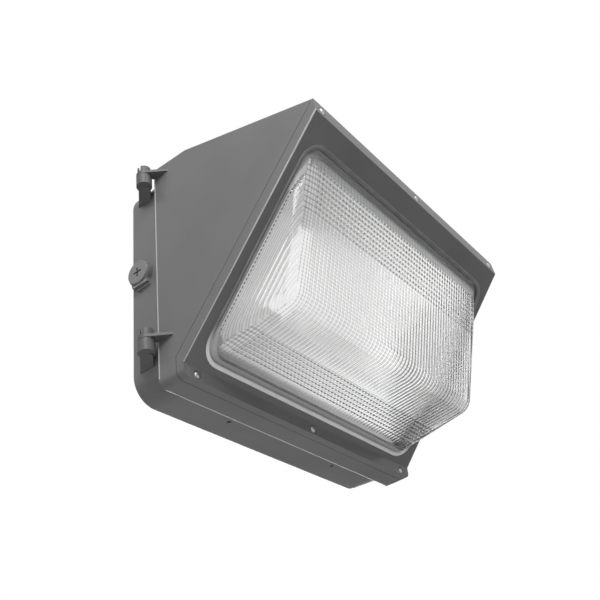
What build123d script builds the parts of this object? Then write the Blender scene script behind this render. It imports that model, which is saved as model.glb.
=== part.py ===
"""Outdoor wall pack light: a shallow cast back box on the wall and a hinged, wedge-shaped
housing in front of it that carries a slanted lens frame and a prismatic glass bowl.

Millimetres. +Z is up, the wall is the plane y = 0 and the light stands out of it towards -Y.
+X is to the right for someone who faces the light. The origin is on the wall, at the centre
of the hole that the supply wires come through.

Side outlines are written as (depth, height): depth is the distance from the wall, so y = -depth.
"""
import os
from math import acos, atan2, cos, degrees, radians, sin, sqrt, tan

from build123d import *

# ---------------------------------------------------------------- driving dimensions
# Housing: the wedge-shaped casting
WIDTH = 360.0  # width that the drafted sides would have at the wall
SIDE_DRAFT = 1.4  # degrees, each side leans in towards the front
TOP_HEIGHT = 126.6  # level top above the origin
BOTTOM_HEIGHT = -125.9  # underside below the origin
PARTING_GAP = 3.0  # between back box and housing, filled by a seal
TOP_FLAT_END_DEPTH = 79.4  # where the level top starts to slope down
UNDERSIDE_BAND_DEPTH = 50.5  # where the underside starts to rise towards the lip
UNDERSIDE_BAND_RISE = 0.7
HOUSING_WALL = 3.0
HOUSING_CORNER_RADIUS = 8.0  # long lower edges
HOUSING_TOP_RADIUS = 3.0  # long upper edges
REAR_FLANGE_WIDTH = 9.0
FRONT_FLANGE_WIDTH = 14.0

# Slanted lens face
CREASE_DEPTH = 66.0  # lower end of the slanted face
CREASE_RISE = 13.3  # from the underside
LENS_TILT = 47.5  # degrees between the slanted face and the horizontal
LENS_LENGTH = 245.3  # along the slant
TOP_LIP_HEIGHT = 16.6
TOP_LIP_LEAN = 1.6
TOP_LIP_THICKNESS = 3.2
BOTTOM_LIP_HEIGHT = 12.6
BOTTOM_LIP_THICKNESS = 7.8
FRAME_WALL = 3.2
FRAME_SKIRT_DEPTH = 11.0  # how far the frame reaches back round the sides
SEAM_GAP = 0.5  # shadow gap between frame and housing
FRAME_EDGE_RADIUS = 1.2

# Opening and glass
OPENING_SIDE_MARGIN = 16.8  # from the sides as they would stand at the wall
OPENING_START = 8.7  # from the crease, along the slant
OPENING_TOP_MARGIN = 23.3  # from the upper end of the slanted face
OPENING_CORNER_RADIUS = 20.0
GLASS_CLEARANCE = 0.5  # round the bowl, in the opening
GLASS_WALL = 4.0
GLASS_FLANGE_THICKNESS = 4.0
GLASS_FLANGE_OVERLAP = 5.2  # how far the flange reaches under the frame
BOWL_DEPTH = 64.7  # from the slanted face to the ridge of the bowl
BOWL_RIDGE_START = 85.6  # ridge position along the slant
BOWL_TOP_SETBACK = 6.0  # front of the bowl meets the slanted face this far below the opening's top
BOWL_SIDE_DRAFT = 8.0  # degrees
FRONT_SEAL_THICKNESS = 1.5
SEAL_WIDTH = 4.4

# Back box
BACK_BOX_SIDE_STEP = 6.0  # how far the box stays inside the housing's outline
BACK_BOX_TOP_STEP = 4.1
BACK_BOX_BOTTOM_STEP = 3.9
BACK_BOX_DEPTH = 34.5
BACK_BOX_CORNER_RADIUS = 25.0
BACK_BOX_DRAFT = 1.0
BACK_BOX_WALL = 3.0
BACK_BOX_EDGE_RADIUS = 2.5  # edge against the wall
WALL_SEAL_THICKNESS = 2.0
WALL_SEAL_WIDTH = 8.0
WALL_SEAL_INSET = 8.0
DRAIN_DIAMETER = 4.5
DRAIN_SPACING = 162.0
DRAIN_DEPTH = 28.3
WIRE_ENTRY_DIAMETER = 22.0
JUNCTION_SLOT_SPACING = 86.0
JUNCTION_SLOT_LENGTH = 12.0
JUNCTION_SLOT_WIDTH = 5.0
WALL_HOLE_SPACING_X = 290.0
WALL_HOLE_SPACING_Z = 190.0
WALL_HOLE_DIAMETER = 6.0
WALL_HOLE_BOSS_DIAMETER = 14.0
WALL_HOLE_BOSS_HEIGHT = 3.0
FLOOR_RIB_THICKNESS = 2.0
FLOOR_RIB_HEIGHT = 6.0

# Conduit entries on both sides of the back box
CONDUIT_HEIGHT = 7.0
CONDUIT_DEPTH = 15.4
CONDUIT_BOSS_RADIUS = 13.5
CONDUIT_BOSS_REACH = 6.0
CONDUIT_BOSS_FOOT_WIDTH = 19.4
CONDUIT_BORE_RADIUS = 10.4
PLUG_CLEARANCE = 0.1
PLUG_FLANGE_RADIUS = 12.5
PLUG_FLANGE_THICKNESS = 2.2
PLUG_SHANK_LENGTH = 9.0
PLUG_WALL = 2.0
PLUG_SLOT_WIDTH = 1.6
PLUG_SLOT_LENGTH = 10.0
PLUG_SLOT_DEPTH = 1.2

# Hinges on the left
HINGE_OFFSET = 8.0  # of the hinge axis outside the housing's side
HINGE_SETBACK = 1.9  # of the hinge axis behind the front of the back box
HINGE_TOP_DROP = 14.2  # from the housing's top to the underside of the upper ear
HINGE_BOTTOM_RISE = 44.8  # from the housing's underside to the underside of the lower ear
EAR_THICKNESS = 3.2
EAR_REACH = 24.0  # along the side wall, forward of the hinge axis
BARREL_RADIUS = 7.75
BARREL_LENGTH = 12.0
BARREL_FLOOR = 2.0
BARREL_END_GAP = 0.4
PIN_RADIUS = 2.9
PIN_RUNNING_CLEARANCE = 0.05
PIN_SEAT_CLEARANCE = 0.03
PIN_HEAD_RADIUS = 4.4
PIN_HEAD_LENGTH = 3.0
PIN_END_GAP = 0.6
PIN_HEAD_STAND = 1.0  # the snap head ends this far above its boss
PIN_SLOT_WIDTH = 1.4
CLIP_BOSS_RADIUS = 6.6
CLIP_BOSS_BORE_RADIUS = 4.8
CLIP_BOSS_LENGTH = 7.5
CLIP_BOSS_SLOT = 3.0
ARM_DROP = 5.5  # underside of the arm falls towards the back box
ARM_ROOT_WIDTH = 17.5
ARM_NECK_WIDTH = 11.0

# Door screws on the right
LUG_OFFSET = 7.0  # of the screw axis outside the housing's side
LUG_RADIUS = 7.0
LUG_TOP_DROP = 26.6  # from the housing's top to the upper screw
LUG_BOTTOM_RISE = 35.9  # from the housing's underside to the lower screw
DOOR_LUG_THICKNESS = 8.0
BOX_LUG_THICKNESS = 12.0
DOOR_SCREW_RADIUS = 2.4
DOOR_SCREW_CLEARANCE = 0.6
DOOR_SCREW_HEAD_RADIUS = 5.0
DOOR_SCREW_HEAD_LENGTH = 4.0
DOOR_SCREW_REACH = 9.0  # past the parting gap, into the box lug
DOOR_SCREW_RING_THICKNESS = 1.0

# Frame screws
FRAME_SCREW_SPACING = 162.0
FRAME_SCREW_HEAD_RADIUS = 3.1
FRAME_SCREW_HEAD_LENGTH = 2.2
FRAME_SCREW_HEAD_SINK = 1.4
FRAME_SCREW_RECESS_CLEARANCE = 0.9
FRAME_SCREW_RADIUS = 1.9
FRAME_SCREW_LENGTH = 16.0
FRAME_SCREW_CLEARANCE = 0.2
THREAD_CLEARANCE = 0.05
FRAME_SCREW_LIP_SHARE = 0.44  # height of the screws within their lip, as a share
FRAME_SCREW_BOSS_RADIUS = 4.5
FRAME_SCREW_BOSS_LENGTH = 16.0

# Reflector pan and light engine, behind the opening
PAN_SHEET = 1.2
PAN_DEPTH = 30.0
PAN_SLOPE_RUN = 16.0
PAN_FLANGE_WIDTH = 7.0
PAN_SCREW_RADIUS = 2.0
PAN_SCREW_HEAD_RADIUS = 3.6
PAN_SCREW_HEAD_LENGTH = 2.0
PAN_SCREW_COUNT = 3
BOARD_THICKNESS = 1.6
BOARD_LENGTH = 118.0
BOARD_WIDTH = 96.0
BOARD_GAP = 12.0
BOARD_CORNER_RADIUS = 3.0
CHIP_SIZE = 3.0
CHIP_THICKNESS = 0.8
CHIP_COLUMNS = 6
CHIP_ROWS = 5
SINK_LENGTH = 240.0
SINK_WIDTH = 90.0
SINK_BASE = 3.0
SINK_FIN_HEIGHT = 11.0
SINK_FIN_THICKNESS = 1.8
SINK_FIN_COUNT = 13

# Driver and wiring in the back box
DRIVER_LENGTH = 150.0
DRIVER_WIDTH = 62.0
DRIVER_HEIGHT = 22.0
DRIVER_CENTRE_HEIGHT = 52.0
DRIVER_CORNER_RADIUS = 3.0
DRIVER_EDGE_CHAMFER = 1.0
DRIVER_TAB_LENGTH = 14.0
DRIVER_TAB_THICKNESS = 2.0
POST_RADIUS = 4.5
POST_HEIGHT = 3.0
BRACKET_SHEET = 1.5
SMALL_SCREW_RADIUS = 1.8
SMALL_SCREW_HEAD_RADIUS = 3.6
SMALL_SCREW_HEAD_LENGTH = 2.2
TERMINAL_LENGTH = 48.0
TERMINAL_WIDTH = 20.0
TERMINAL_HEIGHT = 17.0
TERMINAL_WAYS = 4
TERMINAL_CENTRE = (95.0, -52.0)
GROUND_SCREW_PLACE = (52.0, -40.0)

# Modelling allowances
OVERRUN = 1.0  # how far a cutter reaches past the faces that it cuts
PICK_DISTANCE = 1.0  # edges are picked within this distance of where they should be

# ---------------------------------------------------------------- derived positions
TILT_COS = cos(radians(LENS_TILT))
TILT_SIN = sin(radians(LENS_TILT))
BODY_HEIGHT = TOP_HEIGHT - BOTTOM_HEIGHT
HOUSING_REAR_DEPTH = BACK_BOX_DEPTH + PARTING_GAP
CREASE_HEIGHT = BOTTOM_HEIGHT + CREASE_RISE
OPENING_WIDTH = WIDTH - 2 * OPENING_SIDE_MARGIN
OPENING_LENGTH = LENS_LENGTH - OPENING_START - OPENING_TOP_MARGIN
FRAME_PLANE = Plane(
    origin=(0, -CREASE_DEPTH, CREASE_HEIGHT),
    x_dir=(1, 0, 0),
    z_dir=(0, -TILT_SIN, -TILT_COS),
)
BACK_BOX_WIDTH = WIDTH - 2 * BACK_BOX_SIDE_STEP
BACK_BOX_TOP = TOP_HEIGHT - BACK_BOX_TOP_STEP
BACK_BOX_BOTTOM = BOTTOM_HEIGHT + BACK_BOX_BOTTOM_STEP
BACK_CENTRE_HEIGHT = (BACK_BOX_TOP + BACK_BOX_BOTTOM) / 2
BACK_HEIGHT = BACK_BOX_TOP - BACK_BOX_BOTTOM
OPENING_CENTRE = OPENING_START + OPENING_LENGTH / 2
BOWL_ROUNDING = OPENING_CORNER_RADIUS - GLASS_CLEARANCE
GLASS_FRONT = -FRAME_WALL - FRONT_SEAL_THICKNESS
GLASS_BACK = GLASS_FRONT - GLASS_FLANGE_THICKNESS
HOUSING_FRONT = -FRAME_SKIRT_DEPTH - SEAM_GAP
PAN_TOP = HOUSING_FRONT - HOUSING_WALL
PAN_FLOOR = PAN_TOP - PAN_DEPTH
HINGE_X = -WIDTH / 2 - HINGE_OFFSET
HINGE_DEPTH = BACK_BOX_DEPTH - HINGE_SETBACK
HINGE_HEIGHTS = {
    "upper": TOP_HEIGHT - HINGE_TOP_DROP,
    "lower": BOTTOM_HEIGHT + HINGE_BOTTOM_RISE,
}
LUG_X = WIDTH / 2 + LUG_OFFSET
LUG_HEIGHTS = {
    "upper": TOP_HEIGHT - LUG_TOP_DROP,
    "lower": BOTTOM_HEIGHT + LUG_BOTTOM_RISE,
}


def lens_point(along, out):
    """(depth, height) of a point given along the slant and out of the slanted face."""
    depth = CREASE_DEPTH + along * TILT_COS + out * TILT_SIN
    height = CREASE_HEIGHT + along * TILT_SIN - out * TILT_COS
    return depth, height


def lens_height(depth, out):
    """Height at which a plane parallel to the slanted face has the given depth."""
    along = (depth - CREASE_DEPTH - out * TILT_SIN) / TILT_COS
    return lens_point(along, out)[1]


LIP_TOP_END = lens_point(LENS_LENGTH, 0)
TOP_FRONT = (LIP_TOP_END[0] - TOP_LIP_LEAN, LIP_TOP_END[1] + TOP_LIP_HEIGHT)
TOP_SLOPE = (TOP_HEIGHT - TOP_FRONT[1]) / (TOP_FRONT[0] - TOP_FLAT_END_DEPTH)
LIP_BOTTOM_END = (CREASE_DEPTH, CREASE_HEIGHT - BOTTOM_LIP_HEIGHT)
LIP_BOTTOM_BACK = CREASE_DEPTH - BOTTOM_LIP_THICKNESS
LIP_TOP_BACK = TOP_FRONT[0] - TOP_LIP_THICKNESS


def top_height(depth):
    """Height of the sloping top at a depth."""
    return TOP_HEIGHT - TOP_SLOPE * (depth - TOP_FLAT_END_DEPTH)


def bottom_height(depth):
    """Height of the rising band of the underside at a depth."""
    rise = UNDERSIDE_BAND_RISE / (CREASE_DEPTH - UNDERSIDE_BAND_DEPTH)
    return BOTTOM_HEIGHT + rise * (depth - UNDERSIDE_BAND_DEPTH)


def half_width(depth):
    """Half the width of the drafted housing at a depth."""
    return WIDTH / 2 - depth * tan(radians(SIDE_DRAFT))


# ---------------------------------------------------------------- shared shapes
def side_face(points):
    """Face in the plane x = 0 through (depth, height) points."""
    corners = [(-depth, height) for depth, height in points]
    return Plane.YZ * make_face(Polyline(*corners, close=True))


def drafted_body(face, inset=0.0):
    """Solid with a side outline and the drafted sides of the housing, set in by inset."""
    reach = 2 * LENS_LENGTH
    corners = [
        (-half_width(0) + inset, 0),
        (half_width(0) - inset, 0),
        (half_width(reach) - inset, -reach),
        (-half_width(reach) + inset, -reach),
    ]
    plan = make_face(Polyline(*corners, close=True))
    return extrude(face, WIDTH, both=True) & extrude(plan, BODY_HEIGHT, both=True)


def lens_slab(width, start, length, radius, low, high):
    """Rounded slab parallel to the slanted face, from low to high out of it."""
    outline = Pos(0, start + length / 2) * RectangleRounded(width, length, radius)
    return FRAME_PLANE * Pos(0, 0, low) * extrude(outline, high - low)


def opening_slab(margin, low, high):
    """Slab with the outline of the opening, grown by margin on every side."""
    return lens_slab(
        OPENING_WIDTH + 2 * margin,
        OPENING_START - margin,
        OPENING_LENGTH + 2 * margin,
        OPENING_CORNER_RADIUS + margin,
        low,
        high,
    )


def back_slab(inset, near, far, draft=0.0):
    """Rounded slab with the outline of the back box, set in by inset, between two depths."""
    outline = Pos(0, BACK_CENTRE_HEIGHT) * RectangleRounded(
        BACK_BOX_WIDTH - 2 * inset,
        BACK_HEIGHT - 2 * inset,
        BACK_BOX_CORNER_RADIUS - inset,
    )
    return Pos(0, -near, 0) * extrude(Plane.XZ * outline, far - near, taper=-draft)


def depth_cylinder(x, height, radius, near, far):
    """Cylinder along the depth axis."""
    return Pos(x, -(near + far) / 2, height) * Rot(90, 0, 0) * Cylinder(radius, far - near)


def upright_cylinder(x, depth, radius, low, high):
    """Vertical cylinder."""
    return Pos(x, -depth, (low + high) / 2) * Cylinder(radius, high - low)


def side_cylinder(x_from, x_to, depth, height, radius):
    """Cylinder along the width."""
    middle = (x_from + x_to) / 2
    return Pos(middle, -depth, height) * Rot(0, 90, 0) * Cylinder(radius, abs(x_to - x_from))


def wall_hole_places():
    """Centres of the four corner holes in the back of the box, as (x, height)."""
    for x in (-WALL_HOLE_SPACING_X / 2, WALL_HOLE_SPACING_X / 2):
        for height in (-WALL_HOLE_SPACING_Z / 2, WALL_HOLE_SPACING_Z / 2):
            yield x, height


def driver_tab_places():
    """Centres of the two driver screws, as (x, height)."""
    reach = DRIVER_LENGTH / 2 + DRIVER_TAB_LENGTH / 2
    for side in (-1, 1):
        yield side * reach, DRIVER_CENTRE_HEIGHT


def frame_screw_places(edge):
    """(x, height, depth of the lip's face) of the three screws in one lip."""
    if edge == "top":
        height = LIP_TOP_END[1] + FRAME_SCREW_LIP_SHARE * TOP_LIP_HEIGHT
        face = LIP_TOP_END[0] - FRAME_SCREW_LIP_SHARE * TOP_LIP_LEAN
    else:
        height = LIP_BOTTOM_END[1] + FRAME_SCREW_LIP_SHARE * BOTTOM_LIP_HEIGHT
        face = CREASE_DEPTH
    for step in (-1, 0, 1):
        yield step * FRAME_SCREW_SPACING, height, face


# ---------------------------------------------------------------- back box
def conduit_boss(side):
    """Round pad with a square foot on one side wall."""
    reach = BACK_BOX_WIDTH / 2 + CONDUIT_BOSS_REACH
    foot = Pos(0, -CONDUIT_BOSS_RADIUS / 2) * Rectangle(CONDUIT_BOSS_FOOT_WIDTH, CONDUIT_BOSS_RADIUS)
    outline = Circle(CONDUIT_BOSS_RADIUS) + foot
    placed = Plane.YZ * Pos(-CONDUIT_DEPTH, CONDUIT_HEIGHT) * outline
    pad = extrude(placed, reach)
    inner = BACK_BOX_WIDTH / 2 - BACK_BOX_WALL
    pad -= Pos(0, -CONDUIT_DEPTH, CONDUIT_HEIGHT) * Box(2 * inner, BACK_BOX_DEPTH * 2, BODY_HEIGHT)
    return pad if side > 0 else mirror(pad, Plane.YZ)


def tray_block():
    """The outside of the back box, as a solid block."""
    block = back_slab(0, 0, BACK_BOX_DEPTH, BACK_BOX_DRAFT)
    return fillet(block.edges().group_by(Axis.Y)[-1], BACK_BOX_EDGE_RADIUS)


def make_hinge_arm(ear_height):
    """Barrel for the hinge pin, with the arm that carries it from the back box."""
    top = ear_height - BARREL_END_GAP
    bottom = top - BARREL_LENGTH
    root_x = -BACK_BOX_WIDTH / 2 + BACK_BOX_WALL / 2
    root_depth = HINGE_DEPTH - (root_x - HINGE_X)
    direction = Vector(root_x - HINGE_X, root_depth - HINGE_DEPTH).normalized()
    across = Vector(-direction.Y, direction.X) * (ARM_NECK_WIDTH / 2)
    corners = [
        (HINGE_X + across.X, -HINGE_DEPTH - across.Y),
        (root_x, -root_depth - ARM_ROOT_WIDTH / 2),
        (root_x, -root_depth + ARM_ROOT_WIDTH / 2),
        (HINGE_X - across.X, -HINGE_DEPTH + across.Y),
    ]
    plan = make_face(Polyline(*corners, close=True))
    arm = Pos(0, 0, bottom - ARM_DROP) * extrude(plan, BARREL_LENGTH + ARM_DROP - BARREL_END_GAP)
    fall = degrees(atan2(ARM_DROP, root_x - HINGE_X))
    under = Pos(HINGE_X, 0, bottom) * Rot(0, fall, 0) * Pos(0, 0, -BARREL_LENGTH)
    arm -= under * Box(BODY_HEIGHT, BODY_HEIGHT, 2 * BARREL_LENGTH)
    barrel = upright_cylinder(HINGE_X, HINGE_DEPTH, BARREL_RADIUS, bottom, top)
    bore_radius = PIN_RADIUS + PIN_RUNNING_CLEARANCE
    bore = upright_cylinder(HINGE_X, HINGE_DEPTH, bore_radius, bottom + BARREL_FLOOR, top + BARREL_LENGTH)
    return arm + barrel - bore - tray_block()


def make_box_lug(height):
    """Lug on the right of the back box that takes a door screw."""
    far = BACK_BOX_DEPTH
    near = far - BOX_LUG_THICKNESS
    root_x = BACK_BOX_WIDTH / 2 - BACK_BOX_WALL / 2
    lug = depth_cylinder(LUG_X, height, LUG_RADIUS, near, far)
    middle = Pos((LUG_X + root_x) / 2, -(near + far) / 2, height)
    lug += middle * Box(LUG_X - root_x, far - near, 2 * LUG_RADIUS)
    radius = DOOR_SCREW_RADIUS + DOOR_SCREW_CLEARANCE
    lug -= depth_cylinder(LUG_X, height, radius, near - OVERRUN, far + OVERRUN)
    return lug - tray_block()


def make_back_box():
    """Cast tray on the wall, open at the front."""
    shell = tray_block()
    shell -= back_slab(BACK_BOX_WALL, BACK_BOX_WALL, BACK_BOX_DEPTH + OVERRUN, BACK_BOX_DRAFT)
    for x, height in wall_hole_places():
        top = BACK_BOX_WALL + WALL_HOLE_BOSS_HEIGHT
        shell += depth_cylinder(x, height, WALL_HOLE_BOSS_DIAMETER / 2, 0, top)
    shell += floor_ribs()
    for x, height in driver_tab_places():
        shell += depth_cylinder(x, height, POST_RADIUS, 0, BACK_BOX_WALL + POST_HEIGHT)
    for side in (-1, 1):
        shell += conduit_boss(side)
    return shell - back_box_cuts()


def floor_ribs():
    """Stiffening ribs that cross the floor of the tray between the corner bosses."""
    span = WALL_HOLE_SPACING_X - WALL_HOLE_BOSS_DIAMETER / 2
    ribs = []
    for height in (-WALL_HOLE_SPACING_Z / 2, WALL_HOLE_SPACING_Z / 2):
        centre = Pos(0, -(BACK_BOX_WALL + FLOOR_RIB_HEIGHT / 2), height)
        ribs.append(centre * Box(span, FLOOR_RIB_HEIGHT, FLOOR_RIB_THICKNESS))
    return ribs[0] + ribs[1]


def back_box_cuts():
    """Holes, slots and the seal groove in the back box."""
    through = BACK_BOX_WALL + WALL_HOLE_BOSS_HEIGHT + OVERRUN
    cuts = depth_cylinder(0, 0, WIRE_ENTRY_DIAMETER / 2, -OVERRUN, through)
    for x, height in wall_hole_places():
        cuts += depth_cylinder(x, height, WALL_HOLE_DIAMETER / 2, -OVERRUN, through)
    slot = SlotOverall(JUNCTION_SLOT_LENGTH, JUNCTION_SLOT_WIDTH)
    for side in (-1, 1):
        place = Plane.XZ * Pos(side * JUNCTION_SLOT_SPACING / 2, 0) * slot
        cuts += Pos(0, OVERRUN, 0) * extrude(place, through)
    for side in (-1, 1):
        low = BACK_BOX_BOTTOM - OVERRUN
        high = BACK_BOX_BOTTOM + BACK_BOX_WALL + OVERRUN
        cuts += upright_cylinder(side * DRAIN_SPACING / 2, DRAIN_DEPTH, DRAIN_DIAMETER / 2, low, high)
        outer = side * (BACK_BOX_WIDTH / 2 + CONDUIT_BOSS_REACH + OVERRUN)
        inner = side * (BACK_BOX_WIDTH / 2 - 3 * BACK_BOX_WALL)
        cuts += side_cylinder(inner, outer, CONDUIT_DEPTH, CONDUIT_HEIGHT, CONDUIT_BORE_RADIUS)
    for x, height in driver_tab_places():
        radius = SMALL_SCREW_RADIUS + THREAD_CLEARANCE
        cuts += depth_cylinder(x, height, radius, BACK_BOX_WALL / 2, through)
    ground_x, ground_height = GROUND_SCREW_PLACE
    radius = SMALL_SCREW_RADIUS + THREAD_CLEARANCE
    cuts += depth_cylinder(ground_x, ground_height, radius, BACK_BOX_WALL / 3, through)
    return cuts + make_wall_seal()


def make_wall_seal():
    """Foam seal in the groove behind the back box."""
    outer = back_slab(WALL_SEAL_INSET, 0, WALL_SEAL_THICKNESS)
    inset = WALL_SEAL_INSET + WALL_SEAL_WIDTH
    return outer - back_slab(inset, -OVERRUN, WALL_SEAL_THICKNESS + OVERRUN)


def make_conduit_plug(side):
    """Threaded plug with a crossed driver slot, closing one side entry."""
    face = BACK_BOX_WIDTH / 2 + CONDUIT_BOSS_REACH
    outer = face + PLUG_FLANGE_THICKNESS
    plug = side_cylinder(face, outer, CONDUIT_DEPTH, CONDUIT_HEIGHT, PLUG_FLANGE_RADIUS)
    rim = plug.edges().group_by(Axis.X)[-1]
    plug = fillet(rim, PLUG_FLANGE_THICKNESS / 3)
    shank_radius = CONDUIT_BORE_RADIUS - PLUG_CLEARANCE
    shank_end = face - PLUG_SHANK_LENGTH
    plug += side_cylinder(shank_end, face, CONDUIT_DEPTH, CONDUIT_HEIGHT, shank_radius)
    cup_radius = shank_radius - PLUG_WALL
    cup_end = face - PLUG_WALL
    plug -= side_cylinder(shank_end - OVERRUN, cup_end, CONDUIT_DEPTH, CONDUIT_HEIGHT, cup_radius)
    for turn in (0, 90):
        place = Pos(outer, -CONDUIT_DEPTH, CONDUIT_HEIGHT) * Rot(turn, 0, 0)
        plug -= place * Box(2 * PLUG_SLOT_DEPTH, PLUG_SLOT_LENGTH, PLUG_SLOT_WIDTH)
    return plug if side > 0 else mirror(plug, Plane.YZ)


# ---------------------------------------------------------------- driver and wiring
def make_driver():
    """Potted driver in a flat metal case with a screw tab at each end."""
    near = BACK_BOX_WALL + POST_HEIGHT + BRACKET_SHEET
    place = Pos(0, -(near + DRIVER_HEIGHT / 2), DRIVER_CENTRE_HEIGHT)
    case = place * Box(DRIVER_LENGTH, DRIVER_HEIGHT, DRIVER_WIDTH)
    case = fillet(case.edges().filter_by(Axis.Y), DRIVER_CORNER_RADIUS)
    case = chamfer(case.edges().group_by(Axis.Y)[0], DRIVER_EDGE_CHAMFER)
    tab_middle = -(near + DRIVER_TAB_THICKNESS / 2)
    span = DRIVER_LENGTH + 2 * DRIVER_TAB_LENGTH
    case += Pos(0, tab_middle, DRIVER_CENTRE_HEIGHT) * Box(span, DRIVER_TAB_THICKNESS, DRIVER_TAB_LENGTH)
    for x, height in driver_tab_places():
        radius = SMALL_SCREW_RADIUS + FRAME_SCREW_CLEARANCE
        case -= depth_cylinder(x, height, radius, near - OVERRUN, near + DRIVER_TAB_THICKNESS + OVERRUN)
    return case


def make_driver_bracket():
    """Folded sheet bracket between the driver and its posts."""
    near = BACK_BOX_WALL + POST_HEIGHT
    span = DRIVER_LENGTH + 2 * DRIVER_TAB_LENGTH
    middle = Pos(0, -(near + BRACKET_SHEET / 2), DRIVER_CENTRE_HEIGHT)
    plate = middle * Box(span, BRACKET_SHEET, DRIVER_WIDTH / 2)
    for side in (-1, 1):
        height = DRIVER_CENTRE_HEIGHT + side * (DRIVER_WIDTH / 4 - BRACKET_SHEET / 2)
        x = side * (span / 2 - DRIVER_TAB_LENGTH / 4)
        place = Pos(x, -(near + 2 * BRACKET_SHEET), height)
        plate += place * Box(DRIVER_TAB_LENGTH / 2, 4 * BRACKET_SHEET, BRACKET_SHEET)
    for x, height in driver_tab_places():
        radius = SMALL_SCREW_RADIUS + FRAME_SCREW_CLEARANCE
        plate -= depth_cylinder(x, height, radius, near - OVERRUN, near + BRACKET_SHEET + OVERRUN)
    return plate


def small_screw(x, height, face, length):
    """Pan-head screw along the depth axis, head on the room side of face."""
    head = depth_cylinder(x, height, SMALL_SCREW_HEAD_RADIUS, face, face + SMALL_SCREW_HEAD_LENGTH)
    head = fillet(head.edges().group_by(Axis.Y)[0], SMALL_SCREW_HEAD_LENGTH / 2)
    return head + depth_cylinder(x, height, SMALL_SCREW_RADIUS, face - length, face)


def make_driver_screws():
    """The two screws through the driver's tabs."""
    face = BACK_BOX_WALL + POST_HEIGHT + BRACKET_SHEET + DRIVER_TAB_THICKNESS
    length = face - BACK_BOX_WALL
    screws = [small_screw(x, height, face, length) for x, height in driver_tab_places()]
    return Compound(children=screws)


def make_terminal_block():
    """Moulded block with a row of wire entries and screw wells."""
    x, height = TERMINAL_CENTRE
    place = Pos(x, -(BACK_BOX_WALL + TERMINAL_HEIGHT / 2), height)
    block = place * Box(TERMINAL_LENGTH, TERMINAL_HEIGHT, TERMINAL_WIDTH)
    pitch = TERMINAL_LENGTH / TERMINAL_WAYS
    front = BACK_BOX_WALL + TERMINAL_HEIGHT
    for way in range(TERMINAL_WAYS):
        way_x = x - TERMINAL_LENGTH / 2 + (way + 0.5) * pitch
        well_floor = front - TERMINAL_HEIGHT / 3
        block -= depth_cylinder(way_x, height, pitch / 4, well_floor, front + OVERRUN)
        low = height - TERMINAL_WIDTH / 2
        entry_depth = BACK_BOX_WALL + TERMINAL_HEIGHT / 2
        entry_end = low + TERMINAL_WIDTH / 4
        block -= upright_cylinder(way_x, entry_depth, pitch / 5, low - OVERRUN, entry_end)
    return block


def make_ground_screw():
    """Earthing screw in the floor of the tray."""
    x, height = GROUND_SCREW_PLACE
    return small_screw(x, height, BACK_BOX_WALL, BACK_BOX_WALL / 2)


# ---------------------------------------------------------------- housing
def housing_outline():
    """Side outline of the housing behind the lens frame, as (depth, height)."""
    top_back = LIP_TOP_BACK - SEAM_GAP
    bottom_back = LIP_BOTTOM_BACK - SEAM_GAP
    return [
        (HOUSING_REAR_DEPTH, TOP_HEIGHT),
        (TOP_FLAT_END_DEPTH, TOP_HEIGHT),
        (top_back, top_height(top_back)),
        (top_back, lens_height(top_back, HOUSING_FRONT)),
        (bottom_back, lens_height(bottom_back, HOUSING_FRONT)),
        (bottom_back, bottom_height(bottom_back)),
        (UNDERSIDE_BAND_DEPTH, BOTTOM_HEIGHT),
        (HOUSING_REAR_DEPTH, BOTTOM_HEIGHT),
    ]


def full_outline():
    """Side outline of housing and lens frame together, as (depth, height)."""
    return [
        (HOUSING_REAR_DEPTH, TOP_HEIGHT),
        (TOP_FLAT_END_DEPTH, TOP_HEIGHT),
        TOP_FRONT,
        LIP_TOP_END,
        (CREASE_DEPTH, CREASE_HEIGHT),
        (CREASE_DEPTH, bottom_height(CREASE_DEPTH)),
        (UNDERSIDE_BAND_DEPTH, BOTTOM_HEIGHT),
        (HOUSING_REAR_DEPTH, BOTTOM_HEIGHT),
    ]


def wedge():
    """The whole closed wedge, with its long edges rounded."""
    body = drafted_body(side_face(full_outline()))
    lower = [edge for edge in body.edges() if is_lower_side_edge(edge)]
    body = fillet(lower, HOUSING_CORNER_RADIUS)
    upper = [edge for edge in body.edges() if is_upper_side_edge(edge)]
    return fillet(upper, HOUSING_TOP_RADIUS)


def is_lower_side_edge(edge):
    """True for the edges where the underside meets the drafted sides."""
    middle = edge.center()
    at_side = abs(middle.X) > half_width(-middle.Y) - PICK_DISTANCE
    return at_side and middle.Z < BOTTOM_HEIGHT + PICK_DISTANCE


def is_upper_side_edge(edge):
    """True for the edges where the level and the sloping top meet the drafted sides."""
    middle = edge.center()
    height = min(TOP_HEIGHT, top_height(-middle.Y))
    at_side = abs(middle.X) > half_width(-middle.Y) - PICK_DISTANCE
    return at_side and abs(middle.Z - height) < PICK_DISTANCE


def housing_cavity():
    """Room inside the housing, between its rear and front flanges."""
    face = offset(side_face(housing_outline()), -HOUSING_WALL, kind=Kind.INTERSECTION)
    return drafted_body(face, HOUSING_WALL)


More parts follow.
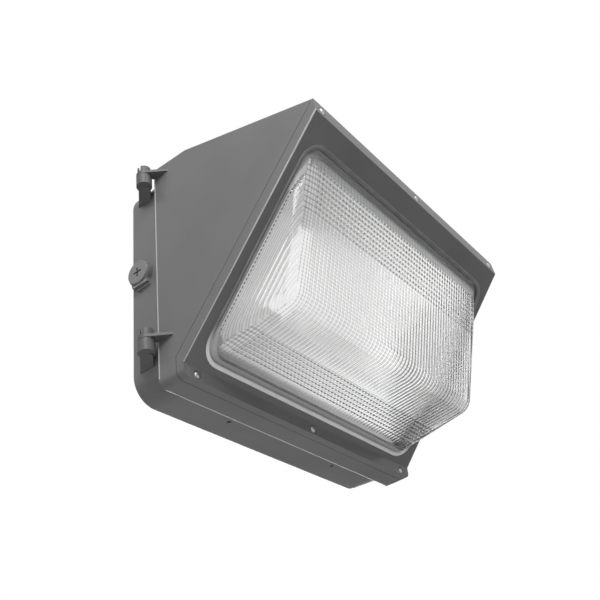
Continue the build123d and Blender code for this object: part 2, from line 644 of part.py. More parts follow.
def make_hinge_ear(underside):
    """Flat ear on the left wall, with the slotted boss that holds the pin's head."""
    wall_x = -half_width(HINGE_DEPTH) + OVERRUN
    tip_depth = HINGE_DEPTH + EAR_REACH
    dx = wall_x - HINGE_X
    reach = sqrt(dx**2 + EAR_REACH**2)
    turn = atan2(EAR_REACH, dx) + acos(BARREL_RADIUS / reach)
    outer = (HINGE_X + BARREL_RADIUS * cos(turn), -(HINGE_DEPTH + BARREL_RADIUS * sin(turn)))
    corners = [
        (wall_x, -(HOUSING_REAR_DEPTH + OVERRUN)),
        (wall_x, -tip_depth),
        outer,
        (HINGE_X, -HINGE_DEPTH),
    ]
    plan = make_face(Polyline(*corners, close=True))
    plan += Pos(HINGE_X, -HINGE_DEPTH) * Circle(BARREL_RADIUS)
    ear = Pos(0, 0, underside) * extrude(plan, EAR_THICKNESS)
    top = underside + EAR_THICKNESS
    boss = upright_cylinder(HINGE_X, HINGE_DEPTH, CLIP_BOSS_RADIUS, top, top + CLIP_BOSS_LENGTH)
    boss -= upright_cylinder(HINGE_X, HINGE_DEPTH, CLIP_BOSS_BORE_RADIUS, top, top + CLIP_BOSS_LENGTH)
    slot_height = CLIP_BOSS_LENGTH * 0.75
    slot = Pos(HINGE_X - CLIP_BOSS_RADIUS, -HINGE_DEPTH, top + CLIP_BOSS_LENGTH - slot_height / 2)
    boss -= slot * Box(2 * CLIP_BOSS_RADIUS, CLIP_BOSS_SLOT, slot_height)
    radius = PIN_RADIUS + PIN_SEAT_CLEARANCE
    hole = upright_cylinder(HINGE_X, HINGE_DEPTH, radius, underside - OVERRUN, top + OVERRUN)
    return ear + boss - hole - drafted_body(side_face(housing_outline()))


def make_door_lug(height):
    """Lug on the right wall of the housing that holds a captive door screw."""
    near = HOUSING_REAR_DEPTH
    far = near + DOOR_LUG_THICKNESS
    root_x = half_width(far) - HOUSING_WALL / 2
    lug = depth_cylinder(LUG_X, height, LUG_RADIUS, near, far)
    middle = Pos((LUG_X + root_x) / 2, -(near + far) / 2, height)
    lug += middle * Box(LUG_X - root_x, far - near, 2 * LUG_RADIUS)
    radius = DOOR_SCREW_RADIUS + THREAD_CLEARANCE
    lug -= depth_cylinder(LUG_X, height, radius, near - OVERRUN, far + OVERRUN)
    return lug - drafted_body(side_face(housing_outline()))


def frame_screw_bosses():
    """Round bosses inside the housing that take the frame screws."""
    bosses = []
    for edge in ("top", "bottom"):
        back = LIP_TOP_BACK if edge == "top" else LIP_BOTTOM_BACK
        far = back - SEAM_GAP - HOUSING_WALL / 2
        near = far - FRAME_SCREW_BOSS_LENGTH
        for x, height, face in frame_screw_places(edge):
            bosses.append(depth_cylinder(x, height, FRAME_SCREW_BOSS_RADIUS, near, far))
    return bosses


def frame_screw_holes(radius):
    """Blind holes for the frame screws."""
    holes = []
    for edge in ("top", "bottom"):
        for x, height, face in frame_screw_places(edge):
            near = face - FRAME_SCREW_LENGTH - OVERRUN
            holes.append(depth_cylinder(x, height, radius, near, face + OVERRUN))
    return holes


def make_housing():
    """Cast housing: wedge walls, rear and front flanges and screw bosses."""
    envelope = drafted_body(side_face(housing_outline()))
    body = wedge() & envelope
    body -= housing_cavity()
    for boss in frame_screw_bosses():
        body += boss & envelope
    body -= back_slab(REAR_FLANGE_WIDTH, BACK_BOX_DEPTH, HOUSING_REAR_DEPTH + 2 * HOUSING_WALL)
    margin = -(FRONT_FLANGE_WIDTH - PAN_FLANGE_WIDTH)
    body -= opening_slab(margin, PAN_TOP - OVERRUN, HOUSING_FRONT + OVERRUN)
    for hole in frame_screw_holes(FRAME_SCREW_RADIUS + THREAD_CLEARANCE):
        body -= hole
    for hole in pan_screw_holes(PAN_SCREW_RADIUS + THREAD_CLEARANCE):
        body -= hole
    return body


def make_housing_seal():
    """Sponge seal between the back box and the rear flange of the housing."""
    inset = BACK_BOX_WALL / 2 - SEAL_WIDTH / 4
    outer = back_slab(inset, BACK_BOX_DEPTH, HOUSING_REAR_DEPTH)
    inner_inset = inset + SEAL_WIDTH
    return outer - back_slab(inner_inset, BACK_BOX_DEPTH - OVERRUN, HOUSING_REAR_DEPTH + OVERRUN)


def make_hinge_pin(underside):
    """Hinge pin with a slotted snap head, pushed down through an ear into its barrel."""
    top = underside + EAR_THICKNESS
    low = underside - BARREL_END_GAP - BARREL_LENGTH + BARREL_FLOOR + PIN_END_GAP
    pin = upright_cylinder(HINGE_X, HINGE_DEPTH, PIN_RADIUS, low, top)
    pin = chamfer(pin.edges().group_by(Axis.Z)[0], PIN_RADIUS / 4)
    head = upright_cylinder(HINGE_X, HINGE_DEPTH, PIN_HEAD_RADIUS, top, top + PIN_HEAD_LENGTH)
    neck_top = top + CLIP_BOSS_LENGTH + PIN_HEAD_STAND
    head += upright_cylinder(HINGE_X, HINGE_DEPTH, PIN_RADIUS, top, neck_top)
    slot = Pos(HINGE_X, -HINGE_DEPTH, top + PIN_HEAD_LENGTH + CLIP_BOSS_LENGTH / 2)
    head -= slot * Box(2 * PIN_HEAD_RADIUS, PIN_SLOT_WIDTH, CLIP_BOSS_LENGTH)
    return pin + head


def make_door_screw(height):
    """Captive thumb-headed screw in a door lug."""
    near = HOUSING_REAR_DEPTH
    face = near + DOOR_LUG_THICKNESS
    head = depth_cylinder(LUG_X, height, DOOR_SCREW_HEAD_RADIUS, face, face + DOOR_SCREW_HEAD_LENGTH)
    head = fillet(head.edges().group_by(Axis.Y)[0], DOOR_SCREW_HEAD_LENGTH / 4)
    slot = Pos(LUG_X, -(face + DOOR_SCREW_HEAD_LENGTH), height)
    head -= slot * Box(2 * DOOR_SCREW_HEAD_RADIUS, DOOR_SCREW_HEAD_LENGTH / 2, DOOR_SCREW_HEAD_LENGTH / 3)
    tip = BACK_BOX_DEPTH - DOOR_SCREW_REACH
    return head + depth_cylinder(LUG_X, height, DOOR_SCREW_RADIUS, tip, face)


def make_door_screw_rings():
    """Retaining rings that keep the door screws in their lugs."""
    rings = []
    far = HOUSING_REAR_DEPTH
    near = far - DOOR_SCREW_RING_THICKNESS
    radius = DOOR_SCREW_RADIUS + THREAD_CLEARANCE
    for height in LUG_HEIGHTS.values():
        ring = depth_cylinder(LUG_X, height, 2 * DOOR_SCREW_RADIUS, near, far)
        rings.append(ring - depth_cylinder(LUG_X, height, radius, near - OVERRUN, far + OVERRUN))
    return Compound(children=rings)


# ---------------------------------------------------------------- lens frame and glass
def frame_outline():
    """Side outline of the lens frame, as (depth, height)."""
    skirt = -FRAME_SKIRT_DEPTH
    return [
        TOP_FRONT,
        LIP_TOP_END,
        (CREASE_DEPTH, CREASE_HEIGHT),
        (CREASE_DEPTH, bottom_height(CREASE_DEPTH)),
        (LIP_BOTTOM_BACK, bottom_height(LIP_BOTTOM_BACK)),
        (LIP_BOTTOM_BACK, lens_height(LIP_BOTTOM_BACK, skirt)),
        (LIP_TOP_BACK, lens_height(LIP_TOP_BACK, skirt)),
        (LIP_TOP_BACK, top_height(LIP_TOP_BACK)),
    ]


def frame_pocket():
    """Recess behind the frame's face for the flange of the glass and its seals."""
    margin = GLASS_FLANGE_OVERLAP + GLASS_CLEARANCE
    return opening_slab(margin, HOUSING_FRONT - OVERRUN, -FRAME_WALL)


def make_lens_frame():
    """Cast lens frame: slanted face, side skirts and the two screwed lips."""
    frame = wedge() & drafted_body(side_face(frame_outline()))
    frame -= frame_pocket()
    frame -= opening_slab(0, -FRAME_WALL - OVERRUN, OVERRUN)
    rim = [edge for edge in frame.edges() if is_opening_rim(edge)]
    frame = fillet(rim, FRAME_EDGE_RADIUS)
    for hole in frame_screw_holes(FRAME_SCREW_RADIUS + FRAME_SCREW_CLEARANCE):
        frame -= hole
    for edge in ("top", "bottom"):
        for x, height, face in frame_screw_places(edge):
            radius = FRAME_SCREW_HEAD_RADIUS + FRAME_SCREW_RECESS_CLEARANCE
            seat = face - FRAME_SCREW_HEAD_SINK
            frame -= depth_cylinder(x, height, radius, seat, face + 2 * OVERRUN)
    return frame


def is_opening_rim(edge):
    """True for the front edges of the opening in the lens frame."""
    middle = FRAME_PLANE.to_local_coords(edge.center())
    inside_x = abs(middle.X) < OPENING_WIDTH / 2 + PICK_DISTANCE
    inside_y = abs(middle.Y - OPENING_CENTRE) < OPENING_LENGTH / 2 + PICK_DISTANCE
    return inside_x and inside_y and abs(middle.Z) < PICK_DISTANCE


def bowl_core():
    """Sharp-edged core of the bowl, one rounding radius inside its outer faces."""
    low = OPENING_START + GLASS_CLEARANCE
    high = OPENING_START + OPENING_LENGTH - GLASS_CLEARANCE
    deep = -2 * BOWL_DEPTH
    front_slope = BOWL_DEPTH / (high - BOWL_TOP_SETBACK - BOWL_RIDGE_START)
    corners = [
        (low, deep),
        (low, 0),
        (BOWL_RIDGE_START, BOWL_DEPTH),
        (high, -BOWL_TOP_SETBACK * front_slope),
        (high, deep),
    ]
    side = Plane(origin=FRAME_PLANE.origin, x_dir=FRAME_PLANE.y_dir, z_dir=FRAME_PLANE.x_dir)
    outline = make_face(Polyline(*corners, close=True))
    core = extrude(side * offset(outline, -BOWL_ROUNDING, kind=Kind.INTERSECTION), WIDTH, both=True)
    half = OPENING_WIDTH / 2 - GLASS_CLEARANCE
    rise = 2 * BOWL_DEPTH
    run = rise * tan(radians(BOWL_SIDE_DRAFT))
    ends = [(-half, deep), (-half, 0), (-half + run, rise), (half - run, rise), (half, 0), (half, deep)]
    across = Plane(origin=FRAME_PLANE.origin, x_dir=FRAME_PLANE.x_dir, z_dir=-FRAME_PLANE.y_dir)
    section = offset(make_face(Polyline(*ends, close=True)), -BOWL_ROUNDING, kind=Kind.INTERSECTION)
    return core & extrude(across * section, 2 * LENS_LENGTH, both=True)


def make_refractor():
    """Glass bowl, rounded alike on every edge, with a flat flange behind the lens frame."""
    core = bowl_core()
    outer = offset(core, BOWL_ROUNDING, kind=Kind.ARC)
    inner = offset(core, BOWL_ROUNDING - GLASS_WALL, kind=Kind.ARC)
    front = opening_slab(2 * GLASS_FLANGE_OVERLAP, GLASS_BACK, 2 * BOWL_DEPTH)
    flange = opening_slab(GLASS_FLANGE_OVERLAP, GLASS_BACK, GLASS_FRONT)
    return flange + (outer & front) - inner


def make_front_seal():
    """Seal between the lens frame and the front of the glass flange."""
    outer = opening_slab(GLASS_FLANGE_OVERLAP, GLASS_FRONT, -FRAME_WALL)
    inner = opening_slab(GLASS_FLANGE_OVERLAP - SEAL_WIDTH, GLASS_FRONT - OVERRUN, OVERRUN)
    return outer - inner


def make_rear_seal():
    """Seal between the glass flange and the front flange of the housing."""
    outer = opening_slab(GLASS_FLANGE_OVERLAP, HOUSING_FRONT, GLASS_BACK)
    margin = GLASS_FLANGE_OVERLAP - SEAL_WIDTH
    return outer - opening_slab(margin, HOUSING_FRONT - OVERRUN, GLASS_BACK + OVERRUN)


def make_frame_screws(edge):
    """The three pan-head screws of one lip."""
    screws = []
    for x, height, face in frame_screw_places(edge):
        seat = face - FRAME_SCREW_HEAD_SINK
        head = depth_cylinder(x, height, FRAME_SCREW_HEAD_RADIUS, seat, seat + FRAME_SCREW_HEAD_LENGTH)
        head = fillet(head.edges().group_by(Axis.Y)[0], FRAME_SCREW_HEAD_LENGTH / 2)
        shank = depth_cylinder(x, height, FRAME_SCREW_RADIUS, face - FRAME_SCREW_LENGTH, seat)
        screws.append(head + shank)
    return Compound(children=screws)


# ---------------------------------------------------------------- reflector and light engine
def pan_rect(margin):
    """Width, start and length of the opening in the housing's front flange, grown by margin."""
    inset = FRONT_FLANGE_WIDTH - PAN_FLANGE_WIDTH
    width = OPENING_WIDTH - 2 * inset + 2 * margin
    length = OPENING_LENGTH - 2 * inset + 2 * margin
    return width, OPENING_START + inset - margin, length


def pan_body(thickness):
    """Tapered pan, grown by thickness outside its inner surface."""
    width, start, length = pan_rect(0)
    radius = OPENING_CORNER_RADIUS - FRONT_FLANGE_WIDTH + PAN_FLANGE_WIDTH
    centre = start + length / 2
    width += 2 * thickness
    length += 2 * thickness
    mouth = Pos(0, centre) * RectangleRounded(width, length, radius + thickness)
    run = 2 * PAN_SLOPE_RUN
    floor = Pos(0, centre, -PAN_DEPTH - thickness) * RectangleRounded(width - run, length - run, radius / 2)
    return FRAME_PLANE * Pos(0, 0, PAN_TOP) * loft([floor, mouth])


def pan_screw_places():
    """Centres of the pan's screws on the slanted face, as (x, along)."""
    width, start, length = pan_rect(PAN_FLANGE_WIDTH / 2 + PAN_SHEET)
    for along in (start, start + length):
        for step in range(PAN_SCREW_COUNT):
            share = (step + 0.5) / PAN_SCREW_COUNT - 0.5
            yield share * width, along


def lens_cylinder(x, along, radius, low, high):
    """Cylinder square to the slanted face."""
    return FRAME_PLANE * Pos(x, along, (low + high) / 2) * Cylinder(radius, high - low)


def pan_screw_holes(radius):
    """Holes through the pan's flange into the housing's front flange."""
    low = PAN_TOP - PAN_SHEET - OVERRUN
    high = HOUSING_FRONT - HOUSING_WALL / 3
    return [lens_cylinder(x, along, radius, low, high) for x, along in pan_screw_places()]


def make_reflector_pan():
    """White pressed pan behind the opening, screwed to the back of the housing's flange."""
    width, start, length = pan_rect(PAN_FLANGE_WIDTH)
    flange = lens_slab(width, start, length, OPENING_CORNER_RADIUS, PAN_TOP - PAN_SHEET, PAN_TOP)
    pan = flange + pan_body(PAN_SHEET)
    pan -= pan_body(0)
    for hole in pan_screw_holes(PAN_SCREW_RADIUS + FRAME_SCREW_CLEARANCE):
        pan -= hole
    return pan


def make_pan_screws():
    """Screws that hold the pan, put in from behind."""
    screws = []
    seat = PAN_TOP - PAN_SHEET
    end = HOUSING_FRONT - HOUSING_WALL / 2
    for x, along in pan_screw_places():
        head = lens_cylinder(x, along, PAN_SCREW_HEAD_RADIUS, seat - PAN_SCREW_HEAD_LENGTH, seat)
        screws.append(head + lens_cylinder(x, along, PAN_SCREW_RADIUS, seat, end))
    return Compound(children=screws)


def board_centre(side):
    """Centre of one circuit board on the slanted face, as (x, along)."""
    return side * (BOARD_LENGTH + BOARD_GAP) / 2, OPENING_CENTRE


def make_board(side):
    """Aluminium-cored circuit board on the floor of the pan."""
    x, along = board_centre(side)
    outline = Pos(x, along) * RectangleRounded(BOARD_LENGTH, BOARD_WIDTH, BOARD_CORNER_RADIUS)
    return FRAME_PLANE * Pos(0, 0, PAN_FLOOR) * extrude(outline, BOARD_THICKNESS)


def make_chips():
    """Rows of light-emitting chips on both boards."""
    chips = []
    low = PAN_FLOOR + BOARD_THICKNESS
    for side in (-1, 1):
        x, along = board_centre(side)
        for column in range(CHIP_COLUMNS):
            for row in range(CHIP_ROWS):
                chip_x = x + ((column + 0.5) / CHIP_COLUMNS - 0.5) * BOARD_LENGTH
                chip_y = along + ((row + 0.5) / CHIP_ROWS - 0.5) * BOARD_WIDTH
                place = Pos(chip_x, chip_y, low + CHIP_THICKNESS / 2)
                chips.append(FRAME_PLANE * place * Box(CHIP_SIZE, CHIP_SIZE, CHIP_THICKNESS))
    return Compound(children=chips)


def make_heat_sink():
    """Finned aluminium plate on the back of the pan."""
    top = PAN_FLOOR - PAN_SHEET
    base = Pos(0, OPENING_CENTRE, top - SINK_BASE / 2) * Box(SINK_LENGTH, SINK_WIDTH, SINK_BASE)
    sink = FRAME_PLANE * base
    pitch = (SINK_LENGTH - SINK_FIN_THICKNESS) / (SINK_FIN_COUNT - 1)
    for index in range(SINK_FIN_COUNT):
        x = -SINK_LENGTH / 2 + SINK_FIN_THICKNESS / 2 + index * pitch
        place = Pos(x, OPENING_CENTRE, top - SINK_BASE - SINK_FIN_HEIGHT / 2)
        sink += FRAME_PLANE * place * Box(SINK_FIN_THICKNESS, SINK_WIDTH, SINK_FIN_HEIGHT)
    return sink


# ---------------------------------------------------------------- the assembly
def make_parts():
    """Every sub-part of the light, by name."""
    parts = {
        "back_box": make_back_box(),
        "wall_seal": make_wall_seal(),
        "conduit_plug_left": make_conduit_plug(-1),
        "conduit_plug_right": make_conduit_plug(1),
        "led_driver": make_driver(),
        "driver_bracket": make_driver_bracket(),
        "driver_screws": make_driver_screws(),
        "terminal_block": make_terminal_block(),
        "ground_screw": make_ground_screw(),
        "housing": make_housing(),
        "housing_seal": make_housing_seal(),
        "lens_frame": make_lens_frame(),
        "refractor": make_refractor(),
        "lens_seal_front": make_front_seal(),
        "lens_seal_rear": make_rear_seal(),
        "frame_screws_top": make_frame_screws("top"),
        "frame_screws_bottom": make_frame_screws("bottom"),
        "reflector_pan": make_reflector_pan(),
        "pan_screws": make_pan_screws(),
        "led_board_left": make_board(-1),
        "led_board_right": make_board(1),
        "led_chips": make_chips(),
        "heat_sink": make_heat_sink(),
        "door_screw_rings": make_door_screw_rings(),
    }
    for name, underside in HINGE_HEIGHTS.items():
        parts[f"hinge_arm_{name}"] = make_hinge_arm(underside)
        parts[f"hinge_ear_{name}"] = make_hinge_ear(underside)
        parts[f"hinge_pin_{name}"] = make_hinge_pin(underside)
    for name, height in LUG_HEIGHTS.items():
        parts[f"box_lug_{name}"] = make_box_lug(height)
        parts[f"door_lug_{name}"] = make_door_lug(height)
        parts[f"door_screw_{name}"] = make_door_screw(height)
    return parts


os.makedirs("parts", exist_ok=True)
for node, shape in make_parts().items():
    export_step(shape, f"parts/{node}.step")
    print(node, round(shape.volume / 1000, 2), "cm3")
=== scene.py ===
# %% [markdown]
# # A wall pack light, dressed in Blender
#
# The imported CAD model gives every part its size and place: a cast box on the wall, a wedge
# housing that hangs on two hinges, and a prismatic glass bowl behind a slanted frame. This
# script adds what CAD leaves out: eased casting edges, moulded ribs in the glass, driver
# recesses in the screws, and a finish for every part.

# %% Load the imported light
from math import cos, pi, radians, sin

import bmesh
import bpy
from mathutils import Matrix, Vector


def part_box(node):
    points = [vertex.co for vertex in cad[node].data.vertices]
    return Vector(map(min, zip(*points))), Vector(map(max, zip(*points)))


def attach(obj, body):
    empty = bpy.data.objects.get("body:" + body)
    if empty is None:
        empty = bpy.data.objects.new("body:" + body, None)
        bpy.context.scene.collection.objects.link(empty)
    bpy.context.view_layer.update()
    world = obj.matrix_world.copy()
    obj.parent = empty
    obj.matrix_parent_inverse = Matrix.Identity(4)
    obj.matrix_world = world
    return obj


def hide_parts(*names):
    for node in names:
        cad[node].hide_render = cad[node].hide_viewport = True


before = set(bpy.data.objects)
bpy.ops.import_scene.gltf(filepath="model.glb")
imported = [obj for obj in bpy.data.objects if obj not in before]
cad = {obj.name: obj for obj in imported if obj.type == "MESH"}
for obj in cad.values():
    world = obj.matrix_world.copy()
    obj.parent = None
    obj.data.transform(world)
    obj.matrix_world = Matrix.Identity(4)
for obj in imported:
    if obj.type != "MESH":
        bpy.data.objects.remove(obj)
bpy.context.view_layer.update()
scene = bpy.context.scene

# %% [markdown]
# ## Measures shared with the CAD
#
# Everything is in metres, so a size in millimetres is written as `4 * MM`. The slanted face of
# the light gets a frame of its own: x along the width, y up the slant, z out of the face. The
# glass and its sealant are square in that frame, so they are shaped there and turned into place
# at the end by one matrix.

# %% Measures
MM = 0.001
TILT = radians(47.5)
CREASE = Vector((0, -66.0 * MM, -112.6 * MM))
UP_SLANT = Vector((0, -cos(TILT), sin(TILT)))
OUT = Vector((0, -sin(TILT), -cos(TILT)))
LENS = Matrix((
    (1, UP_SLANT.x, OUT.x, CREASE.x),
    (0, UP_SLANT.y, OUT.y, CREASE.y),
    (0, UP_SLANT.z, OUT.z, CREASE.z),
    (0, 0, 0, 1),
))
print("slanted face tilted", round(TILT * 180 / pi, 1), "degrees")

# %% [markdown]
# ## Camera
#
# The photograph was taken from low on the left, looking up under the light. Position, turn and
# focal length were solved from the light's own corners, so the render lines up with the picture.
# A camera looks along its own -Z with +Y up, which is why two of the three columns are negative.

# %% Camera
camera = bpy.data.objects.new("camera", bpy.data.cameras.new("camera"))
scene.collection.objects.link(camera)
camera.data.lens = 49.18
camera.data.sensor_width = 36.0
right = Vector((0.612078, -0.781978, -0.117775))
down = Vector((0.391040, 0.428739, -0.814414))
ahead = Vector((0.687349, 0.452431, 0.568206))
turn = Matrix((right, -down, -ahead)).transposed().to_4x4()
camera.matrix_world = Matrix.Translation((-0.607425, -0.472119, -0.469985)) @ turn
camera.data.clip_start = 0.02
scene.camera = camera
print("camera", [round(v, 3) for v in camera.location])

# %% [markdown]
# ## Shader maths as arithmetic
#
# A node tree is a sum written with boxes and wires. The small class below wraps one socket and
# overloads + - and *, so that `1 - mask * 0.3` adds the Math nodes by itself. `Nodes` holds one
# tree, and its `node` adds any other node, settings first.

# %% Sockets with operators
class Value:
    """A number that changes over a surface."""

    def __init__(self, tree, socket):
        self.tree = tree
        self.socket = socket

    def math(self, operation, *others):
        inputs = {0: self}
        for place, other in enumerate(others, 1):
            inputs[place] = other
        return self.tree.node("ShaderNodeMath", {"operation": operation}, inputs)

    def __add__(self, other):
        return self.math("ADD", other)

    def __mul__(self, other):
        return self.math("MULTIPLY", other)

    def __sub__(self, other):
        return self.math("SUBTRACT", other)

    def __rsub__(self, other):
        return self.math("MULTIPLY", -1.0).math("ADD", other)

    __radd__ = __add__
    __rmul__ = __mul__

    def smooth(self, start, end):
        """0 up to start, 1 from end on, with a soft change between. Start may be the larger."""
        inputs = {"Value": self, "From Min": start, "From Max": end}
        return self.tree.node("ShaderNodeMapRange", {"interpolation_type": "SMOOTHSTEP"}, inputs)

    def between(self, low, high, soft):
        """1 from low to high, 0 outside."""
        return self.smooth(low - soft, low + soft) * self.smooth(high + soft, high - soft)

    def valleys(self, first, pitch):
        """1 in the valleys between ribs whose crests start at first, 0 a fifth of a pitch away."""
        across_rib = ((self - first) * (1 / pitch)).math("FRACT")
        return (across_rib - 0.5).math("ABSOLUTE").smooth(0.2, 0.02)


class Nodes:
    """One node tree."""

    def __init__(self, tree):
        self.tree = tree

    def node(self, kind, settings=None, inputs=None, output=0):
        node = self.tree.nodes.new(kind)
        for name, value in (settings or {}).items():
            setattr(node, name, value)
        for name, value in (inputs or {}).items():
            if isinstance(value, Value):
                self.tree.links.new(value.socket, node.inputs[name])
            else:
                node.inputs[name].default_value = value
        return Value(self, node.outputs[output])


print("sockets can add, subtract and multiply")

# %% [markdown]
# `Finish` is the tree of one material. Its methods give places and patterns on the piece, and
# `surface` wires the result into the Principled shader. Values that are the same all over go
# straight onto the shader's own sockets, and only values that change are wired.

# %% One finish
# The Mix node has sockets for numbers, vectors and colours. These are the colour ones.
MIX_LOW, MIX_HIGH, MIX_RESULT = 6, 7, 2


def channels(colour):
    """Red, green, blue and alpha. A plain number stands for a grey."""
    return (*colour, 1.0) if isinstance(colour, tuple) else (colour, colour, colour, 1.0)


class Finish(Nodes):
    """One material with a Principled shader, for one material slot of the record."""

    def __init__(self, name, slot=None, **uniform):
        self.material = bpy.data.materials.new(name)
        self.material.use_nodes = True
        super().__init__(self.material.node_tree)
        self.slot = slot
        self.shader = self.tree.nodes["Principled BSDF"]
        for socket, value in uniform.items():
            self.shader.inputs[socket.replace("_", " ")].default_value = value
        self.place = self.node("ShaderNodeTexCoord", output="Object")

    def surface(self, **sockets):
        """Wires values that change into the shader."""
        for name, value in sockets.items():
            self.tree.links.new(value.socket, self.shader.inputs[name.replace("_", " ")])
        return self

    def noise(self, size, detail):
        """Cloudy noise from 0 to 1 whose features are about size across."""
        inputs = {"Vector": self.place, "Scale": 1.0 / size, "Detail": detail}
        return self.node("ShaderNodeTexNoise", {}, inputs)

    def mix(self, amount, low, high):
        """Colour from low to high."""
        inputs = {"Factor": amount, MIX_LOW: channels(low), MIX_HIGH: channels(high)}
        return self.node("ShaderNodeMix", {"data_type": "RGBA"}, inputs, MIX_RESULT)

    def blend(self, amount, low, high):
        """Number from low to high."""
        return amount * (high - low) + low

    def bump(self, height, distance, strength):
        """Normals of a surface raised by height times distance."""
        inputs = {"Height": height, "Distance": distance, "Strength": strength}
        return self.node("ShaderNodeBump", {}, inputs)

    def axis(self, letter):
        """Place along X, Y or Z of the shared frame."""
        return self.node("ShaderNodeSeparateXYZ", {}, {"Vector": self.place}, letter)

    def vector_math(self, operation, first, second, output):
        return self.node("ShaderNodeVectorMath", {"operation": operation}, {0: first, 1: second}, output)

    def from_crease(self, direction):
        """Distance from the lower crease of the slanted face along a direction."""
        offset = self.vector_math("SUBTRACT", self.place, CREASE, "Vector")
        return self.vector_math("DOT_PRODUCT", offset, direction, "Value")


print("finishes can be mixed")

# %% [markdown]
# ## Cast grey paint
#
# Box, housing and frame are die-cast aluminium under a baked powder coat. Such a coat is never
# smooth: it cures into a fine orange peel, a few millimetres across, over an even finer grain.
# A flat grey would look like plastic, so the peel goes into the bump, and two noises shift the
# tone and the gloss a little, as the thickness of a coat does. The sharp edges of the castings
# catch the light in a bright line, and that line is a painted highlight with a finish of its own.

# %% Cast grey paint
DRIFT = 70 * MM
PEEL = 2.4 * MM
GRAIN = 0.9 * MM
PEEL_HEIGHT = 0.05 * MM


def drifting(grey):
    """The darkest and the lightest shade of a coat of one grey."""
    return grey * 0.93, grey * 1.07


def coat_tone(finish):
    """A slow drift with a fine grain in it."""
    return (finish.noise(DRIFT, 3) * 0.7 + finish.noise(GRAIN, 3) * 0.3).smooth(0.3, 0.7)


def powder_coat(name, slot, shades, roughness, coat=0.4, tone=coat_tone):
    """Baked paint that goes from one shade to the other as its tone goes from 0 to 1."""
    finish = Finish(name, slot, Coat_Weight=coat, Coat_Roughness=0.12, Specular_IOR_Level=0.3)
    drift = finish.noise(DRIFT, 3)
    grain = finish.noise(GRAIN, 3)
    peel = finish.noise(PEEL, 2)
    return finish.surface(
        Base_Color=finish.mix(tone(finish), *shades),
        Roughness=finish.blend(drift * 0.5 + grain * 0.5, roughness - 0.06, roughness + 0.08),
        Normal=finish.bump(peel * 0.7 + grain * 0.3, PEEL_HEIGHT, 0.5),
    )


cast_paint = powder_coat("cast grey powder coat", "cast_paint", drifting(0.155), 0.45)
# The hinges take a darker copy of the cast paint with less coat: its darker grey is painted shade.
shaded_hinge_paint = powder_coat("hinge grey paint with painted shade", "cast_paint", drifting(0.115), 0.55, coat=0.1)
# The paler edge paint is a painted highlight along the rounded edges of the castings.
edge_highlight_paint = powder_coat("painted edge highlight", "cast_paint", drifting(0.5), 0.35)
print("three paints for", cast_paint.slot)

# %% [markdown]
# The conduit plugs on the left and the right share one axis. Each has a cross-shaped driver slot
# that reads nearly black. The slots are real cuts, but cuts alone stay too light under studio
# lamps, so shade is painted into them. A slot is a box around the plug's axis: a product of two
# masks marks one arm of the cross, and the larger of both arms is the cross.

# %% Plug paint
SLOT_HALF = (0.85 * MM, 5.0 * MM)  # half the width and half the length of an arm
SLOT_SOFT = 0.1 * MM


def painted_slot_shade(finish, node="conduit_plug_left"):
    """Painted shade: 1 in a cross round the axis of the plugs, 0 beside it, with a little grain."""
    low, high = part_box(node)
    off_y = finish.axis("Y") - (low[1] + high[1]) / 2
    off_z = finish.axis("Z") - (low[2] + high[2]) / 2
    short, long = SLOT_HALF
    upright = off_y.between(-short, short, SLOT_SOFT) * off_z.between(-long, long, SLOT_SOFT)
    level = off_y.between(-long, long, SLOT_SOFT) * off_z.between(-short, short, SLOT_SOFT)
    return upright.math("MAXIMUM", level) + finish.noise(GRAIN, 3) * 0.1


# The plug paint darkens to painted shade in the driver slots.
plug_paint = powder_coat("plug grey powder coat", "plug_paint", (0.215, 0.03), 0.40, tone=painted_slot_shade)
print("plug paint with slots", round(2 * SLOT_HALF[0] / MM, 1), "mm wide")

# %% [markdown]
# ## Prismatic glass
#
# The bowl is pressed glass. Clear glass needs the shader's transmission and an index of
# refraction near 1.5, and its detail comes from real ribs in the mesh. A faint bump stands for
# the skin that a mould leaves on glass. A rib also bends light away at the sharp valleys beside
# it, more finely than any mesh can show, so painted shade darkens the glass there, a little less
# towards the bright right end. The rim is milky, as ground glass is, and the side walls get a
# glass of their own, whose lines of painted shade run along the rim.

# %% Rib measures
UPRIGHT = 5.2 * MM  # pitch of the upright ribs
UPRIGHTS = 56
UPRIGHT_EDGE = -UPRIGHTS / 2 * UPRIGHT  # the leftmost crest
CROSS = 4.8 * MM  # pitch of the cross ribs in the upper band and on the side walls
LOWER_CROSS = 3.7 * MM  # their pitch in the lower band
UPPER_START, UPPER_RIBS = 161 * MM, 9  # up the slant
LOWER_START, LOWER_RIBS = 27 * MM, 7
SIDE_START = 10 * MM  # out from the slanted face
FINE = 3.1 * MM  # pitch of the faint lines between the bands
print("upright ribs every", round(UPRIGHT / MM, 1), "mm, cross ribs every", round(CROSS / MM, 1), "mm")

# %% Clear glass
# How dark the painted shade makes the glass, in the valleys of the ribs and over the walls.
CLEAR, SHADED_GLASS = 0.99, 0.3
UPRIGHT_SHADE, CROSS_SHADE, LOWER_SHADE, FINE_SHADE = 0.6, 0.6, 0.7, 0.25
FADE, FADE_TO = 0.3, 130 * MM  # how much the net fades towards the right end, and where
SHADE, SHADE_FROM = 0.9, 20 * MM  # the dark strip below the lower band
LINE_SHADE, WALL_SHADE = 0.5, 0.3
SHADE_FULL_BELOW, SHADE_GONE_ABOVE, SHADE_FULL_RIGHT = 20 * MM, 52 * MM, 100 * MM


